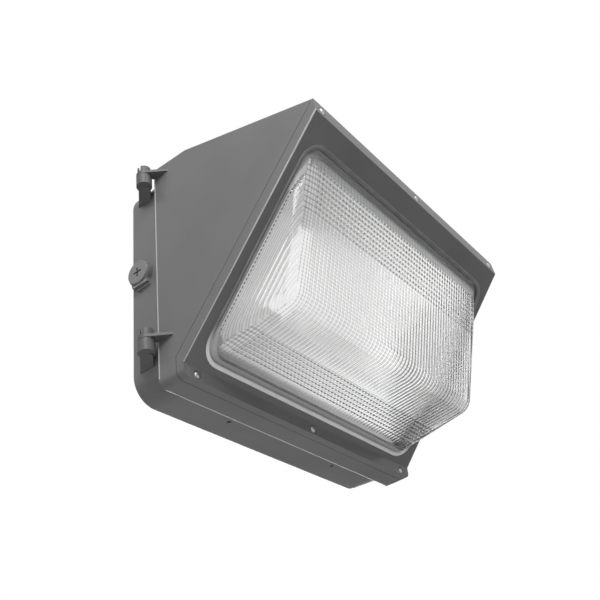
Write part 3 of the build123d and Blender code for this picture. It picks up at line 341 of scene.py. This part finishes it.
def pressed_glass(name, pattern):
    """Clear glass, darkened by painted shade where a pattern runs over it."""
    finish = Finish(name, "glass_clear", Transmission_Weight=0.96, IOR=1.46)
    wave = finish.noise(9 * MM, 2)
    skin = finish.noise(2 * MM, 2)
    return finish.surface(
        Base_Color=finish.mix(pattern(finish) + wave * 0.05, CLEAR, SHADED_GLASS),
        Roughness=finish.blend(skin, 0.03, 0.11),
        Normal=finish.bump(wave * 0.8 + skin * 0.2, 0.12 * MM, 0.35),
    )


def rib_shade_net(finish):
    """Painted shade: upright lines, strong cross lines in two bands, faint ones between, and a dark lower
    edge.
    """
    across = finish.axis("X")
    along = finish.from_crease(UP_SLANT)
    upper = along.between(UPPER_START, UPPER_START + CROSS * UPPER_RIBS, MM)
    lower = along.between(LOWER_START, LOWER_START + LOWER_CROSS * LOWER_RIBS, MM)
    net = across.valleys(UPRIGHT_EDGE, UPRIGHT) * UPRIGHT_SHADE
    net = net + along.valleys(UPPER_START, CROSS) * upper * CROSS_SHADE
    net = net + along.valleys(LOWER_START, LOWER_CROSS) * lower * LOWER_SHADE
    net = net + along.valleys(0.0, FINE) * (1 - upper) * (1 - lower) * FINE_SHADE
    net = net * (1 - across.smooth(0.0, FADE_TO) * FADE)
    return net + along.smooth(LOWER_START, SHADE_FROM) * SHADE


def rim_shade_lines(finish):
    """Painted shade: lines beside the rim, and an even shade on the right wall and at the lower end of both
    walls.
    """
    lines = finish.from_crease(OUT).valleys(SIDE_START, CROSS)
    low = finish.from_crease(UP_SLANT).smooth(SHADE_GONE_ABOVE, SHADE_FULL_BELOW)
    right = finish.axis("X").smooth(0.0, SHADE_FULL_RIGHT)
    return lines * LINE_SHADE + (low + right) * WALL_SHADE


glass = pressed_glass("pressed clear glass", rib_shade_net)
side_glass = pressed_glass("pressed side glass", rim_shade_lines)
print("two clear glasses")

# %% Ground rim
def ground_glass(name):
    """The milky skin of a rim that was ground flat."""
    finish = Finish(name, "glass_clear", Transmission_Weight=0.4, IOR=1.5)
    grain = finish.noise(0.6 * MM, 3)
    return finish.surface(
        Base_Color=finish.mix(grain, 0.55, 0.68),
        Roughness=finish.blend(grain, 0.25, 0.45),
        Normal=finish.bump(grain, 0.03 * MM, 0.4),
    )


rim_glass = ground_glass("ground glass rim")
print("milky glass for the rim")

# %% [markdown]
# ## Metals, rubber and plastics
#
# Small parts each get the finish that their real material has. Stainless screws show fine
# turned lines, so their noise is stretched. Extruded aluminium has long drawn streaks, zinc
# plate has a cloudy spangle, and closed-cell rubber is matt with tiny pores.

# %% Small metals
def bright_metal(name, slot, tone, roughness, stretch):
    """Bare metal with fine streaks, drawn out along the axes where stretch is small."""
    finish = Finish(name, slot, Metallic=1.0)
    scaled = finish.node("ShaderNodeMapping", {}, {"Vector": finish.place, "Scale": stretch})
    streak = finish.node("ShaderNodeTexNoise", {}, {"Vector": scaled, "Scale": 900.0, "Detail": 3.0})
    cloud = finish.noise(6 * MM, 2)
    return finish.surface(
        Base_Color=finish.mix(streak * 0.6 + cloud * 0.4, tone * 0.86, tone),
        Roughness=finish.blend(streak, roughness - 0.07, roughness + 0.1),
        Normal=finish.bump(streak, 0.02 * MM, 0.4),
    )


# Each line gives name, material slot, tone, roughness and stretch.
stainless = bright_metal("turned stainless", "stainless", 0.8, 0.36, (1.0, 0.15, 1.0))
drawn_aluminium = bright_metal("drawn aluminium", "aluminium_plain", 0.8, 0.34, (1.0, 0.05, 0.05))
zinc_sheet = bright_metal("zinc sheet", "zinc_sheet", 0.62, 0.38, (0.3, 0.3, 0.3))
print("three metals")

# %% [markdown]
# The matt parts share one recipe, with pores in tone, gloss and bump. The sealant round the glass
# has a tone of its own, painted light and shade: white along the lower rim, where light falls on
# it, and dark higher up, where it lies in shade, so its tone follows the way up the slant, with
# some cloudiness.

# %% Rubber, plastic and enamel
# Where the sealant's painted light ends and its painted shade begins, up the slant.
LIT_TO, SHADED_FROM = 12 * MM, 40 * MM  # up the slant, for the sealant
GREENS = ((0.03, 0.2, 0.06), (0.06, 0.3, 0.1))
CREAMS = ((0.88, 0.86, 0.78), (0.92, 0.9, 0.84))


def cloudy(finish, pore):
    """The usual tone: pores and a slow drift in equal parts."""
    return finish.noise(pore, 3) * 0.5 + finish.noise(50 * MM, 2) * 0.5


def lit_low_shaded_high(finish, pore):
    """The sealant's painted light and shade: 0, lit, at the lower rim, 1, shaded, above it, with clouds in
    it.
    """
    rise = finish.from_crease(UP_SLANT).smooth(LIT_TO, SHADED_FROM)
    return rise * 0.8 + finish.noise(11 * MM, 3) * 0.2


def matt_skin(name, slot, shades, roughness, pore, depth, tone=cloudy, **uniform):
    """A matt surface whose pores are pore millimetres across and depth millimetres deep."""
    finish = Finish(name, slot, **uniform)
    pores = finish.noise(pore * MM, 3)
    return finish.surface(
        Base_Color=finish.mix(tone(finish, pore * MM), *shades),
        Roughness=finish.blend(pores, roughness - 0.05, roughness + 0.08),
        Normal=finish.bump(pores, depth * MM, 0.5),
    )


# Each line gives name, material slot, two shades, roughness, pore width and pore depth.
silicone = matt_skin("pale grey silicone", "seal_silicone", (0.42, 0.5), 0.45, 0.9, 0.03)
# The sealant is painted light along the lower rim and painted shade higher up.
sealant = matt_skin("sealant with painted light and shade", "seal_silicone", (0.95, 0.1), 0.3, 1.4, 0.05, tone=lit_low_shaded_high)
rubber = matt_skin("sponge rubber", "seal_rubber", (0.03, 0.055), 0.8, 0.7, 0.06)
pan_enamel = matt_skin("white reflector enamel", "pan_white", (0.88, 0.93), 0.34, 1.6, 0.03)
solder_mask = matt_skin("white solder mask", "board_white", (0.84, 0.9), 0.32, 0.5, 0.02)
terminal_plastic = matt_skin("black moulded plastic", "terminal_plastic", (0.02, 0.04), 0.42, 0.5, 0.03)
ground_green = matt_skin("green passivated steel", "ground_green", GREENS, 0.35, 0.6, 0.02, Metallic=0.6)
phosphor = matt_skin("pale phosphor", "chip_phosphor", CREAMS, 0.5, 0.3, 0.02)
print("eight matt skins")

# %% [markdown]
# ## Glow inside the lamp
#
# The white pan and boards throw light to and fro more often than a renderer follows it, so the
# bowl would look dull. A weak emission stands for those lost bounces. Studio light from the
# left lands on the right, so the boards glow but for a strip along their left and lower edges,
# which shows through the glass as the edge of a bright field, and the pan glows more and more
# towards the right.

# %% Glow inside the lamp
FIELD_LEFT = -92 * MM  # from the middle
FIELD_LOW = 80 * MM  # up the slant
PAN_DIM_TO, PAN_BRIGHT_FROM = -150 * MM, 130 * MM


def glow(finish, amount, low, high):
    """Adds a glow that rises from low to high with amount."""
    finish.shader.inputs["Emission Strength"].default_value = 1.0
    return finish.surface(Emission_Color=finish.mix(amount, low, high))


for finish in (solder_mask, phosphor):
    inside = finish.axis("X").smooth(FIELD_LEFT - MM, FIELD_LEFT + MM)
    inside = inside * finish.from_crease(UP_SLANT).smooth(FIELD_LOW - MM, FIELD_LOW + MM)
    glow(finish, inside, low=0.22, high=0.6)
rise = pan_enamel.axis("X").smooth(PAN_DIM_TO, PAN_BRIGHT_FROM)
glow(pan_enamel, rise, low=0.12, high=0.7)
print("glow set on three finishes")

# %% [markdown]
# ## Eased castings
#
# Nothing that is cast and painted has a knife edge: a coat pulls back from a sharp corner and
# leaves a soft line that catches the light. The CAD solids stay as they are and hide, and a
# merged copy of each stands in for it. Flat triangles are joined first, because a bevel works
# best along whole edges. Then the long sharp edges get a bevel weight, and a Bevel modifier
# rounds those alone. On box, housing and frame the rounded strip gets the paler edge paint, a
# painted highlight where the edge catches the light.

# %% From a bmesh to a piece
def merged_copy(name):
    """A CAD node's triangles, merged where they meet and joined where they are level."""
    bm = bmesh.new()
    bm.from_mesh(cad[name].data)
    bmesh.ops.remove_doubles(bm, verts=bm.verts, dist=2e-6)
    bmesh.ops.dissolve_limit(bm, angle_limit=radians(0.4), verts=bm.verts, edges=bm.edges)
    return bm


def make_piece(name, bm, crisp=32):
    """An object from a bmesh, smooth but for edges sharper than crisp degrees."""
    mesh = bpy.data.meshes.new(name)
    bm.to_mesh(mesh)
    bm.free()
    if "custom_normal" in mesh.attributes:
        mesh.attributes.remove(mesh.attributes["custom_normal"])
    mesh.shade_smooth()
    mesh.set_sharp_from_angle(angle=radians(crisp))
    piece = bpy.data.objects.new(name, mesh)
    scene.collection.objects.link(piece)
    return piece


def stand_in(piece, body, finish, *nodes):
    """Gives a piece its body and its finish, and hides the CAD nodes that it stands for."""
    piece.data.materials.clear()
    piece.data.materials.append(finish.material)
    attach(piece, body)
    if nodes:
        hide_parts(*nodes)
    return piece


to_lens = LENS.inverted()
print("mesh helpers ready")

# %% Which edges are eased
SHARP = radians(32)
FACE_SKIN = 2 * MM  # how deep an edge of the slanted face may lie
SIDE_REACH = 170 * MM  # from the middle to the side edges of the frame
REAR = 45 * MM  # from the wall to the rear part of the housing
SKIRT = 22 * MM  # from the slanted face back to the seam of the frame


def any_edge(place):
    return True


def front_edge(place):
    """The frame's front edges at its sides."""
    local = to_lens @ place
    return local.z > -FACE_SKIN and abs(local.x) > SIDE_REACH


def rear_edge(place):
    """The housing's rear edges, away from the seam of the frame."""
    return place.y > -REAR or (to_lens @ place).z < -SKIRT


def long_and_sharp(edge, shortest):
    return edge.is_manifold and edge.calc_face_angle() >= SHARP and edge.calc_length() >= shortest


def eased_copy(name, ease, shortest, wanted, strip):
    """A copy of a CAD node with its wanted edges rounded by ease, in material slot strip."""
    bm = merged_copy(name)
    weight = bm.edges.layers.float.new("bevel_weight_edge")
    marked = 0
    for edge in bm.edges:
        middle = (edge.verts[0].co + edge.verts[1].co) / 2
        if long_and_sharp(edge, shortest) and wanted(middle):
            edge[weight] = 1.0
            marked += 1
    piece = make_piece(name + "_eased", bm)
    bevel = piece.modifiers.new("ease", "BEVEL")
    bevel.width = ease
    bevel.segments = 3
    bevel.limit_method = "WEIGHT"
    bevel.use_clamp_overlap = False
    bevel.harden_normals = True
    bevel.material = strip
    print(piece.name, len(piece.data.polygons), "faces,", marked, "edges eased")
    return piece


print("edges are eased from", round(SHARP * 180 / pi), "degrees up")

# %% Eased castings
# Slot 1 carries the pale edge paint, a painted highlight.
BARE, HIGHLIGHT_SLOT = 0, 1  # material slots: the piece's own paint, and the edge paint
LONG, SHORT = 14 * MM, 4 * MM  # the shortest edge that is eased

for name, body, paint, ease, shortest, wanted, strip in (
    ("back_box", "wall_box", cast_paint, 0.9 * MM, LONG, any_edge, HIGHLIGHT_SLOT),
    # Hinge arms and ears take the darker hinge paint, which is painted shade.
    ("hinge_arm_upper", "wall_box", shaded_hinge_paint, 0.4 * MM, SHORT, any_edge, BARE),
    ("hinge_arm_lower", "wall_box", shaded_hinge_paint, 0.4 * MM, SHORT, any_edge, BARE),
    ("box_lug_upper", "wall_box", cast_paint, 0.4 * MM, SHORT, any_edge, BARE),
    ("box_lug_lower", "wall_box", cast_paint, 0.4 * MM, SHORT, any_edge, BARE),
    ("housing", "door", cast_paint, 1.5 * MM, LONG, rear_edge, HIGHLIGHT_SLOT),
    ("lens_frame", "door", cast_paint, 1.1 * MM, LONG, front_edge, HIGHLIGHT_SLOT),
    ("hinge_ear_upper", "door", shaded_hinge_paint, 0.3 * MM, SHORT, any_edge, BARE),
    ("hinge_ear_lower", "door", shaded_hinge_paint, 0.3 * MM, SHORT, any_edge, BARE),
    ("door_lug_upper", "door", cast_paint, 0.4 * MM, SHORT, any_edge, BARE),
    ("door_lug_lower", "door", cast_paint, 0.4 * MM, SHORT, any_edge, BARE),
):
    piece = stand_in(eased_copy(name, ease, shortest, wanted, strip), body, paint, name)
    piece.data.materials.append(edge_highlight_paint.material)

# %% [markdown]
# ## Ribs in the glass bowl
#
# The mould gives the bowl two sets of ribs: upright ones on the outside, and cross ones on the
# inside, in a band under the top rim and another over the lower rim. The side walls have a row
# of small beads with dents between them near the rim, and cross ribs inside. A bump could fake
# all this, but then the glass would bend light in the wrong places at its rim and silhouette.
# Here the mesh is sliced by planes at a quarter of the pitch, and each point sinks by the square
# of its distance from the nearest crest. That gives every rib a rounded back and a sharp valley,
# as a lens has.

# %% Slicing helpers
ACROSS, UPWARD, OUTWARD = 0, 1, 2  # axes of the slanted face
OUTER, INNER = 1, -1  # walls of the bowl
CUTS_PER_RIB = 4
HAIR = 0.01 * MM  # slack between two places that are meant to be the same
BOWL_MIDDLE = Vector((0, 115 * MM, 10 * MM))
FLANGE_TOP = -4.6 * MM  # the flange lies below this


def faces_of(bm, wall):
    """The faces of the OUTER or INNER wall of the bowl, above its flange."""
    chosen = []
    for face in bm.faces:
        centre = face.calc_center_median()
        if centre.z > FLANGE_TOP and wall * face.normal.dot(centre - BOWL_MIDDLE) > 0:
            chosen.append(face)
    return chosen


def slice_faces(bm, faces, axis, places):
    """Cuts the given faces along planes square to one axis."""
    geometry = list(faces)
    for face in faces:
        geometry += [*face.edges, *face.verts]
    geometry = list(dict.fromkeys(geometry))
    normal = Vector([float(axis == number) for number in range(3)])
    for place in places:
        cut = bmesh.ops.bisect_plane(bm, geom=geometry, dist=1e-7, plane_co=normal * place, plane_no=normal)
        geometry = cut["geom"]


def rib_cuts(first, pitch, count):
    """Planes from the first crest on, CUTS_PER_RIB to each rib."""
    return [first + pitch * number / CUTS_PER_RIB for number in range(count * CUTS_PER_RIB + 1)]


def valley(place, first, pitch):
    """0 at a rib's crest, 1 in the valley beside it."""
    off = abs((place - first) / pitch % 1.0)
    return (2 * min(off, 1 - off)) ** 2


bm = merged_copy("refractor")
bmesh.ops.transform(bm, matrix=to_lens, verts=bm.verts)
bm.normal_update()
print("outer wall", len(faces_of(bm, OUTER)), "faces, inner wall", len(faces_of(bm, INNER)))

# %% Cuts for upright ribs and dents
UPRIGHT_DEPTH = 0.45 * MM
UPRIGHT_LOW = 9 * MM  # where the ribs of the lower face begin
UPRIGHT_RUN_IN = 0.8 * MM
RIDGE = 85 * MM  # where the lower face turns into the front
DENT_PITCH = 4 * MM
DENT_START = 24 * MM
DENT_DEPTH = 1.1 * MM
DENTS = 44
DENT_ROWS = (4.6 * MM, 5.4 * MM, 7.2 * MM, 8.0 * MM)  # cuts round the row, out from the slanted face
WALL_TURN = 0.7  # a normal that leans further to the side belongs to a side wall


def on_side_wall(normal):
    return abs(normal.x) > WALL_TURN


levels = [*DENT_ROWS, UPRIGHT_LOW, UPRIGHT_LOW + UPRIGHT_RUN_IN]
slice_faces(bm, faces_of(bm, OUTER), ACROSS, rib_cuts(UPRIGHT_EDGE, UPRIGHT, UPRIGHTS))
slice_faces(bm, faces_of(bm, OUTER), OUTWARD, levels)
sides = [face for face in faces_of(bm, OUTER) if on_side_wall(face.normal)]
sides = [face for face in sides if DENT_ROWS[0] < face.calc_center_median().z < DENT_ROWS[3]]
slice_faces(bm, sides, UPWARD, rib_cuts(DENT_START, DENT_PITCH, DENTS))
bm.normal_update()
print("bowl cut into", len(bm.faces), "faces")

# %% Sink the valleys and dents
def rib_foot(vert):
    """Height over the slanted face from which a point may sink, more on the bowl's lower face."""
    if vert.co.y < RIDGE and abs(vert.normal.x) < WALL_TURN:
        return UPRIGHT_LOW + UPRIGHT_RUN_IN / 2
    return DENT_ROWS[1] - HAIR


moves = []
for vert in {vert for face in faces_of(bm, OUTER) for vert in face.verts}:
    if vert.co.z < rib_foot(vert):
        continue
    if abs(vert.co.x) <= HAIR - UPRIGHT_EDGE:
        moves.append((vert, UPRIGHT_DEPTH * valley(vert.co.x, UPRIGHT_EDGE, UPRIGHT)))
    elif on_side_wall(vert.normal) and vert.co.z < DENT_ROWS[2] + HAIR:
        moves.append((vert, DENT_DEPTH * valley(vert.co.y, DENT_START, DENT_PITCH)))
for vert, depth in moves:
    vert.co -= vert.normal * depth
print(len(moves), "outer points sunk")

# %% Cross ribs inside
CROSS_DEPTH = 0.36 * MM
SIDE_DEPTH = 0.35 * MM
SIDE_RIBS = 9
FRONT_LEAN, SIDE_LEAN = 0.5, 0.9  # how far a normal may, or must, lean to the side


def cross_ribs(bm, chosen, axis, first, pitch, count, depth):
    """Sinks valleys between cross ribs into the chosen faces."""
    last = first + pitch * count
    places = {}
    slice_faces(bm, chosen(), axis, rib_cuts(first, pitch, count))
    bm.normal_update()
    for vert in {vert for face in chosen() for vert in face.verts}:
        if first < vert.co[axis] < last:
            places[vert] = depth * valley(vert.co[axis], first, pitch)
    for vert, sink in places.items():
        vert.co -= vert.normal * sink
    return len(places)


def inner_front():
    return [face for face in faces_of(bm, INNER) if abs(face.normal.x) < FRONT_LEAN]


def inner_side():
    return [face for face in faces_of(bm, INNER) if abs(face.normal.x) > SIDE_LEAN]


sunk = cross_ribs(bm, inner_front, UPWARD, UPPER_START, CROSS, UPPER_RIBS, CROSS_DEPTH)
sunk += cross_ribs(bm, inner_front, UPWARD, LOWER_START, LOWER_CROSS, LOWER_RIBS, CROSS_DEPTH)
sunk += cross_ribs(bm, inner_side, OUTWARD, SIDE_START, CROSS, SIDE_RIBS, SIDE_DEPTH)
print(sunk, "inner points sunk,", len(bm.faces), "faces")

# %% [markdown]
# The bowl wears its three glasses as three material slots. The ground rim reaches higher on the
# side walls and along the lower rim than along the upper one, where it is a thin line.

# %% Bowl piece
FRONT, GROUND, SIDE = 0, 1, 2
GROUND_HIGH, GROUND_THIN = 4.5 * MM, 0.5 * MM  # how far the ground rim reaches out
LOWER_RIM_END = 60 * MM  # up the slant

bmesh.ops.transform(bm, matrix=LENS, verts=bm.verts)
bowl = stand_in(make_piece("ribbed_bowl", bm, crisp=24), "door", glass, "refractor")
bowl.data.materials.append(rim_glass.material)
bowl.data.materials.append(side_glass.material)
for face in bowl.data.polygons:
    local = to_lens @ face.center
    wall = on_side_wall(face.normal)
    ground = GROUND_HIGH if wall or local.y < LOWER_RIM_END else GROUND_THIN
    face.material_index = GROUND if local.z < ground else SIDE if wall else FRONT
print("bowl", len(bowl.data.polygons), "faces")

# %% [markdown]
# ## Bead of sealant round the glass
#
# A bead of silicone sealant closes the thin gap between the glass and its frame. A curve with a
# round bevel could draw it, but here a circle of edges is carried round the opening: extruded
# along each straight and spun by a quarter turn at each corner. The last quarter meets the first
# circle, and merging doubles closes the ring.

# %% Carry a profile round a rectangle
CORNER_STEPS = 8


def verts_in(geometry):
    return [item for item in geometry if isinstance(item, bmesh.types.BMVert)]


def edges_in(geometry):
    return [item for item in geometry if isinstance(item, bmesh.types.BMEdge)]


def carried_ring(bm, loop, half, turn):
    """Carries a closed profile at the right-hand side of a rounded rectangle once round it."""
    side = Vector((0, 1, 0))
    corner = Vector((half[0] - turn, half[1] - turn, 0))
    quarter = Matrix.Rotation(pi / 2, 3, "Z")
    for run in range(4):
        length = 2 * (half[1] - turn if run % 2 == 0 else half[0] - turn)
        grown = bmesh.ops.extrude_edge_only(bm, edges=loop)["geom"]
        points = verts_in(grown)
        bmesh.ops.translate(bm, verts=points, vec=side * length)
        ends = set(points)
        loop = [edge for edge in edges_in(grown) if ends.issuperset(edge.verts)]
        spun = bmesh.ops.spin(
            bm, geom=points + loop, cent=corner, axis=(0, 0, 1), angle=pi / 2, steps=CORNER_STEPS
        )
        loop = edges_in(spun["geom_last"])
        side = quarter @ side
        corner = Vector((-corner.x, corner.y, 0)) if run % 2 == 0 else Vector((corner.x, -corner.y, 0))
    bmesh.ops.remove_doubles(bm, verts=bm.verts, dist=1e-5)
    bmesh.ops.recalc_face_normals(bm, faces=bm.faces)


print("ring helper ready")

# %% Bead of sealant
RING_HALF = (163.6 * MM, 107.3 * MM)  # half the width and half the height of the opening's ring
RING_TURN = 20.4 * MM  # radius of its corners
RING_CENTRE = Vector((0, 115.3 * MM, -1.4 * MM))
SEALANT_RADIUS = 2.5 * MM
SEALANT_SIDES = 10

bm = bmesh.new()
bmesh.ops.create_circle(bm, segments=SEALANT_SIDES, radius=SEALANT_RADIUS)
bmesh.ops.rotate(bm, verts=bm.verts, cent=(0, 0, 0), matrix=Matrix.Rotation(pi / 2, 3, "X"))
bmesh.ops.translate(bm, verts=bm.verts, vec=(RING_HALF[0], RING_TURN - RING_HALF[1], 0))
carried_ring(bm, list(bm.edges), RING_HALF, RING_TURN)
bmesh.ops.translate(bm, verts=bm.verts, vec=RING_CENTRE)
bmesh.ops.transform(bm, matrix=LENS, verts=bm.verts)
print("sealant bead open edges:", sum(not edge.is_manifold for edge in bm.edges))
stand_in(make_piece("sealant_bead", bm, crisp=60), "door", sealant)

# %% [markdown]
# ## Frame screws
#
# The CAD screws are plain pan heads. Here each head gets a cross recess for its driver and a
# black ring round it, a painted shadow that stands for the shade in the screw's recess. A grid
# turned into a disc gives the head its quads, a plus of faces in the middle is pushed in for the
# driver, and the black ring is a ring of revolution round each head.

# %% Screw head
HEAD = (3.1 * MM, 1.9 * MM, 1.3 * MM)  # radius, rise, depth of the recess
QUADS = 9
SQUARE_CORE = 0.6  # from here out the square grid turns into a disc
ARM_HALF = 0.12  # picks the middle row and the middle column of the grid
DROOP = 0.55  # what the dome loses of its rise at its edge
TAPER = 0.85  # width of the recess at its bottom


def screw_head(bm, radius, rise, recess):
    """A domed head with a cross recess, its top towards +Z and its seat at z = 0."""
    bmesh.ops.create_grid(bm, x_segments=QUADS, y_segments=QUADS, size=1.0)
    cross = []
    for face in bm.faces:
        near, far = sorted(abs(place) for place in face.calc_center_median().xy)
        if near < ARM_HALF and far < SQUARE_CORE:
            cross.append(face)
    for vert in bm.verts:
        reach = max(abs(vert.co.x), abs(vert.co.y))
        if reach > SQUARE_CORE:
            vert.co *= reach / vert.co.length
        fall = DROOP * vert.co.length ** 3
        vert.co = Vector((vert.co.x * radius, vert.co.y * radius, rise * (1 - fall)))
    rim = [edge for edge in bm.edges if edge.is_boundary]
    for vert in verts_in(bmesh.ops.extrude_edge_only(bm, edges=rim)["geom"]):
        vert.co.z = 0
    pushed = bmesh.ops.extrude_face_region(bm, geom=cross)["geom"]
    bmesh.ops.delete(bm, geom=cross, context="FACES_ONLY")
    for vert in verts_in(pushed):
        vert.co.z -= recess
        vert.co.xy *= TAPER


print("screw heads", round(2 * HEAD[0] / MM, 1), "mm across")

# %% Shadow ring round each screw head
# A black ring round each screw head, painted shadow for the screw's recess.
SHADOW_RING = (2.6 * MM, 4.3 * MM, 0.5 * MM)  # inner and outer radius, thickness
SHADOW_STEPS = 24


def shadow_ring(bm, inner, outer, thick):
    """A flat ring of revolution on z = 0."""
    corners = ((inner, 0), (outer, 0), (outer, thick), (inner, thick))
    profile = [bm.verts.new((place, 0, height)) for place, height in corners]
    edges = [bm.edges.new((profile[i - 1], profile[i])) for i in range(4)]
    bmesh.ops.spin(
        bm, geom=profile + edges, axis=(0, 0, 1), angle=2 * pi, steps=SHADOW_STEPS, use_merge=True
    )
    bmesh.ops.recalc_face_normals(bm, faces=bm.faces)


print("washers", round(2 * SHADOW_RING[1] / MM, 1), "mm across")

# %% Frame screws
SCREW_SPREAD = 162 * MM


def at_screws(name, build, measures, height, front):
    """One piece with a shape that build makes at each of three screws, facing the front."""
    bm = bmesh.new()
    for side in (-1, 0, 1):
        one = bmesh.new()
        build(one, *measures)
        facing = Matrix.Translation((side * SCREW_SPREAD, front, height)) @ Matrix.Rotation(pi / 2, 4, "X")
        bmesh.ops.transform(one, matrix=facing, verts=one.verts)
        single = bpy.data.meshes.new("one")
        one.to_mesh(single)
        one.free()
        bm.from_mesh(single)
        bpy.data.meshes.remove(single)
    return make_piece(name, bm, crisp=40)


for row in ("top", "bottom"):
    node = "frame_screws_" + row
    low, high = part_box(node)
    height = (low[2] + high[2]) / 2
    seat = low[1] + HEAD[1]
    heads = at_screws("cross_screws_" + row, screw_head, HEAD, height, seat)
    stand_in(heads, "door", stainless, node)
    # The black rings round the heads are painted shadow, standing for the shade in the screw recesses.
    rings = at_screws("screw_shadows_" + row, shadow_ring, SHADOW_RING, height, seat)
    stand_in(rings, "door", rubber)
    print(heads.name, len(heads.data.polygons), "faces at height", round(height / MM, 1), "mm")

# %% [markdown]
# ## Finishes for the parts that keep their CAD shape
#
# Screws, pins, seals, boards and the driver already have the right shape. They only need their
# material slots filled.

# %% Finish the rest
for finish, names in (
    (plug_paint, ("conduit_plug_left", "conduit_plug_right")),
    # The hinge pins take the darker hinge paint, which is painted shade.
    (shaded_hinge_paint, ("hinge_pin_upper", "hinge_pin_lower")),
    (stainless, ("driver_screws", "frame_screws_top", "frame_screws_bottom", "pan_screws",
                 "door_screw_rings", "door_screw_upper", "door_screw_lower")),
    (rubber, ("wall_seal", "housing_seal")),
    (silicone, ("lens_seal_front", "lens_seal_rear")),
    (drawn_aluminium, ("led_driver", "heat_sink")),
    (zinc_sheet, ("driver_bracket",)),
    (terminal_plastic, ("terminal_block",)),
    (ground_green, ("ground_screw",)),
    (pan_enamel, ("reflector_pan",)),
    (solder_mask, ("led_board_left", "led_board_right")),
    (phosphor, ("led_chips",)),
):
    for name in names:
        cad[name].data.materials.clear()
        cad[name].data.materials.append(finish.material)
print("all CAD nodes finished")

# %% [markdown]
# ## Light
#
# The picture is a studio shot on white. The slanted face is darker there than the left side, so
# the main softbox stands high on the left, in front. The top and rear softboxes only keep the
# other sides readable, and a thin strip on the left draws the edges. The world gives a weak even
# fill, but shows as white to the camera and through the glass, and as pale grey in gloss.

# %% World
FILL = 0.14  # what lights the object
GLOSS = 0.65  # how white the world looks in gloss

world = bpy.data.worlds.new("studio")
scene.world = world
world.use_nodes = True
sky = Nodes(world.node_tree)
seen = sky.node("ShaderNodeLightPath", output="Is Camera Ray")
through = sky.node("ShaderNodeLightPath", output="Is Transmission Ray")
mirrored = sky.node("ShaderNodeLightPath", output="Is Glossy Ray")
white = seen.math("MAXIMUM", through).math("MAXIMUM", mirrored * GLOSS)
level = white * (1 - FILL) + FILL
background = world.node_tree.nodes["Background"]
background.inputs["Color"].default_value = (1, 1, 1, 1)
world.node_tree.links.new(level.socket, background.inputs["Strength"])
print("world fills at", FILL)

# %% Lamps
LAMP_TARGET = Vector((0, -90 * MM, 0))


def softbox(name, place, size, power, up=Vector((0, 0, 1))):
    """A rectangular lamp that faces the middle of the light."""
    lamp = bpy.data.lights.new(name, "AREA")
    lamp.shape = "RECTANGLE"
    lamp.size, lamp.size_y = size
    lamp.energy = power
    box = bpy.data.objects.new(name, lamp)
    scene.collection.objects.link(box)
    back = (Vector(place) - LAMP_TARGET).normalized()
    across = up.cross(back).normalized()
    turn = Matrix((across, back.cross(across), back)).transposed().to_4x4()
    box.matrix_world = Matrix.Translation(place) @ turn


softbox("main softbox", (-1.2, -0.75, 0.92), (0.9, 0.9), 21)
softbox("top softbox", (-0.2, -1.3, 1.7), (0.8, 0.8), 10)
softbox("rear softbox", (1.35, 1.35, 0.25), (1.2, 0.9), 16)
softbox("edge strip", (-1.2, -1.12, -0.5), (0.1, 0.9), 4, up=UP_SLANT)
print("four lamps set")

# %% [markdown]
# ## Floor
#
# The light hangs on a wall, and the photograph shows no floor. A pale one well below it is there
# for the views from above, with a little light of its own that only the camera sees.

# %% Floor
FLOOR_DROP = 0.95
FLOOR_HALF = 4.0
FLOOR_LIFT = 0.55  # its own light, for the camera alone
FLOOR_CLOUDS = 0.4

pale = Finish("pale floor", Roughness=0.8, Emission_Strength=1.0)
seen = pale.node("ShaderNodeLightPath", output="Is Camera Ray")
pale.surface(
    Base_Color=pale.mix(pale.noise(FLOOR_CLOUDS, 3), 0.80, 0.84),
    Emission_Color=pale.mix(seen, 0.0, FLOOR_LIFT),
)
bm = bmesh.new()
bmesh.ops.create_grid(bm, x_segments=1, y_segments=1, size=FLOOR_HALF)
bmesh.ops.translate(bm, verts=bm.verts, vec=(0, 0, -FLOOR_DROP))
mesh = bpy.data.meshes.new("floor")
bm.to_mesh(mesh)
bm.free()
floor = bpy.data.objects.new("floor", mesh)
scene.collection.objects.link(floor)
floor.data.materials.append(pale.material)
scene.view_settings.view_transform = "Standard"
print("floor", FLOOR_DROP, "m below")
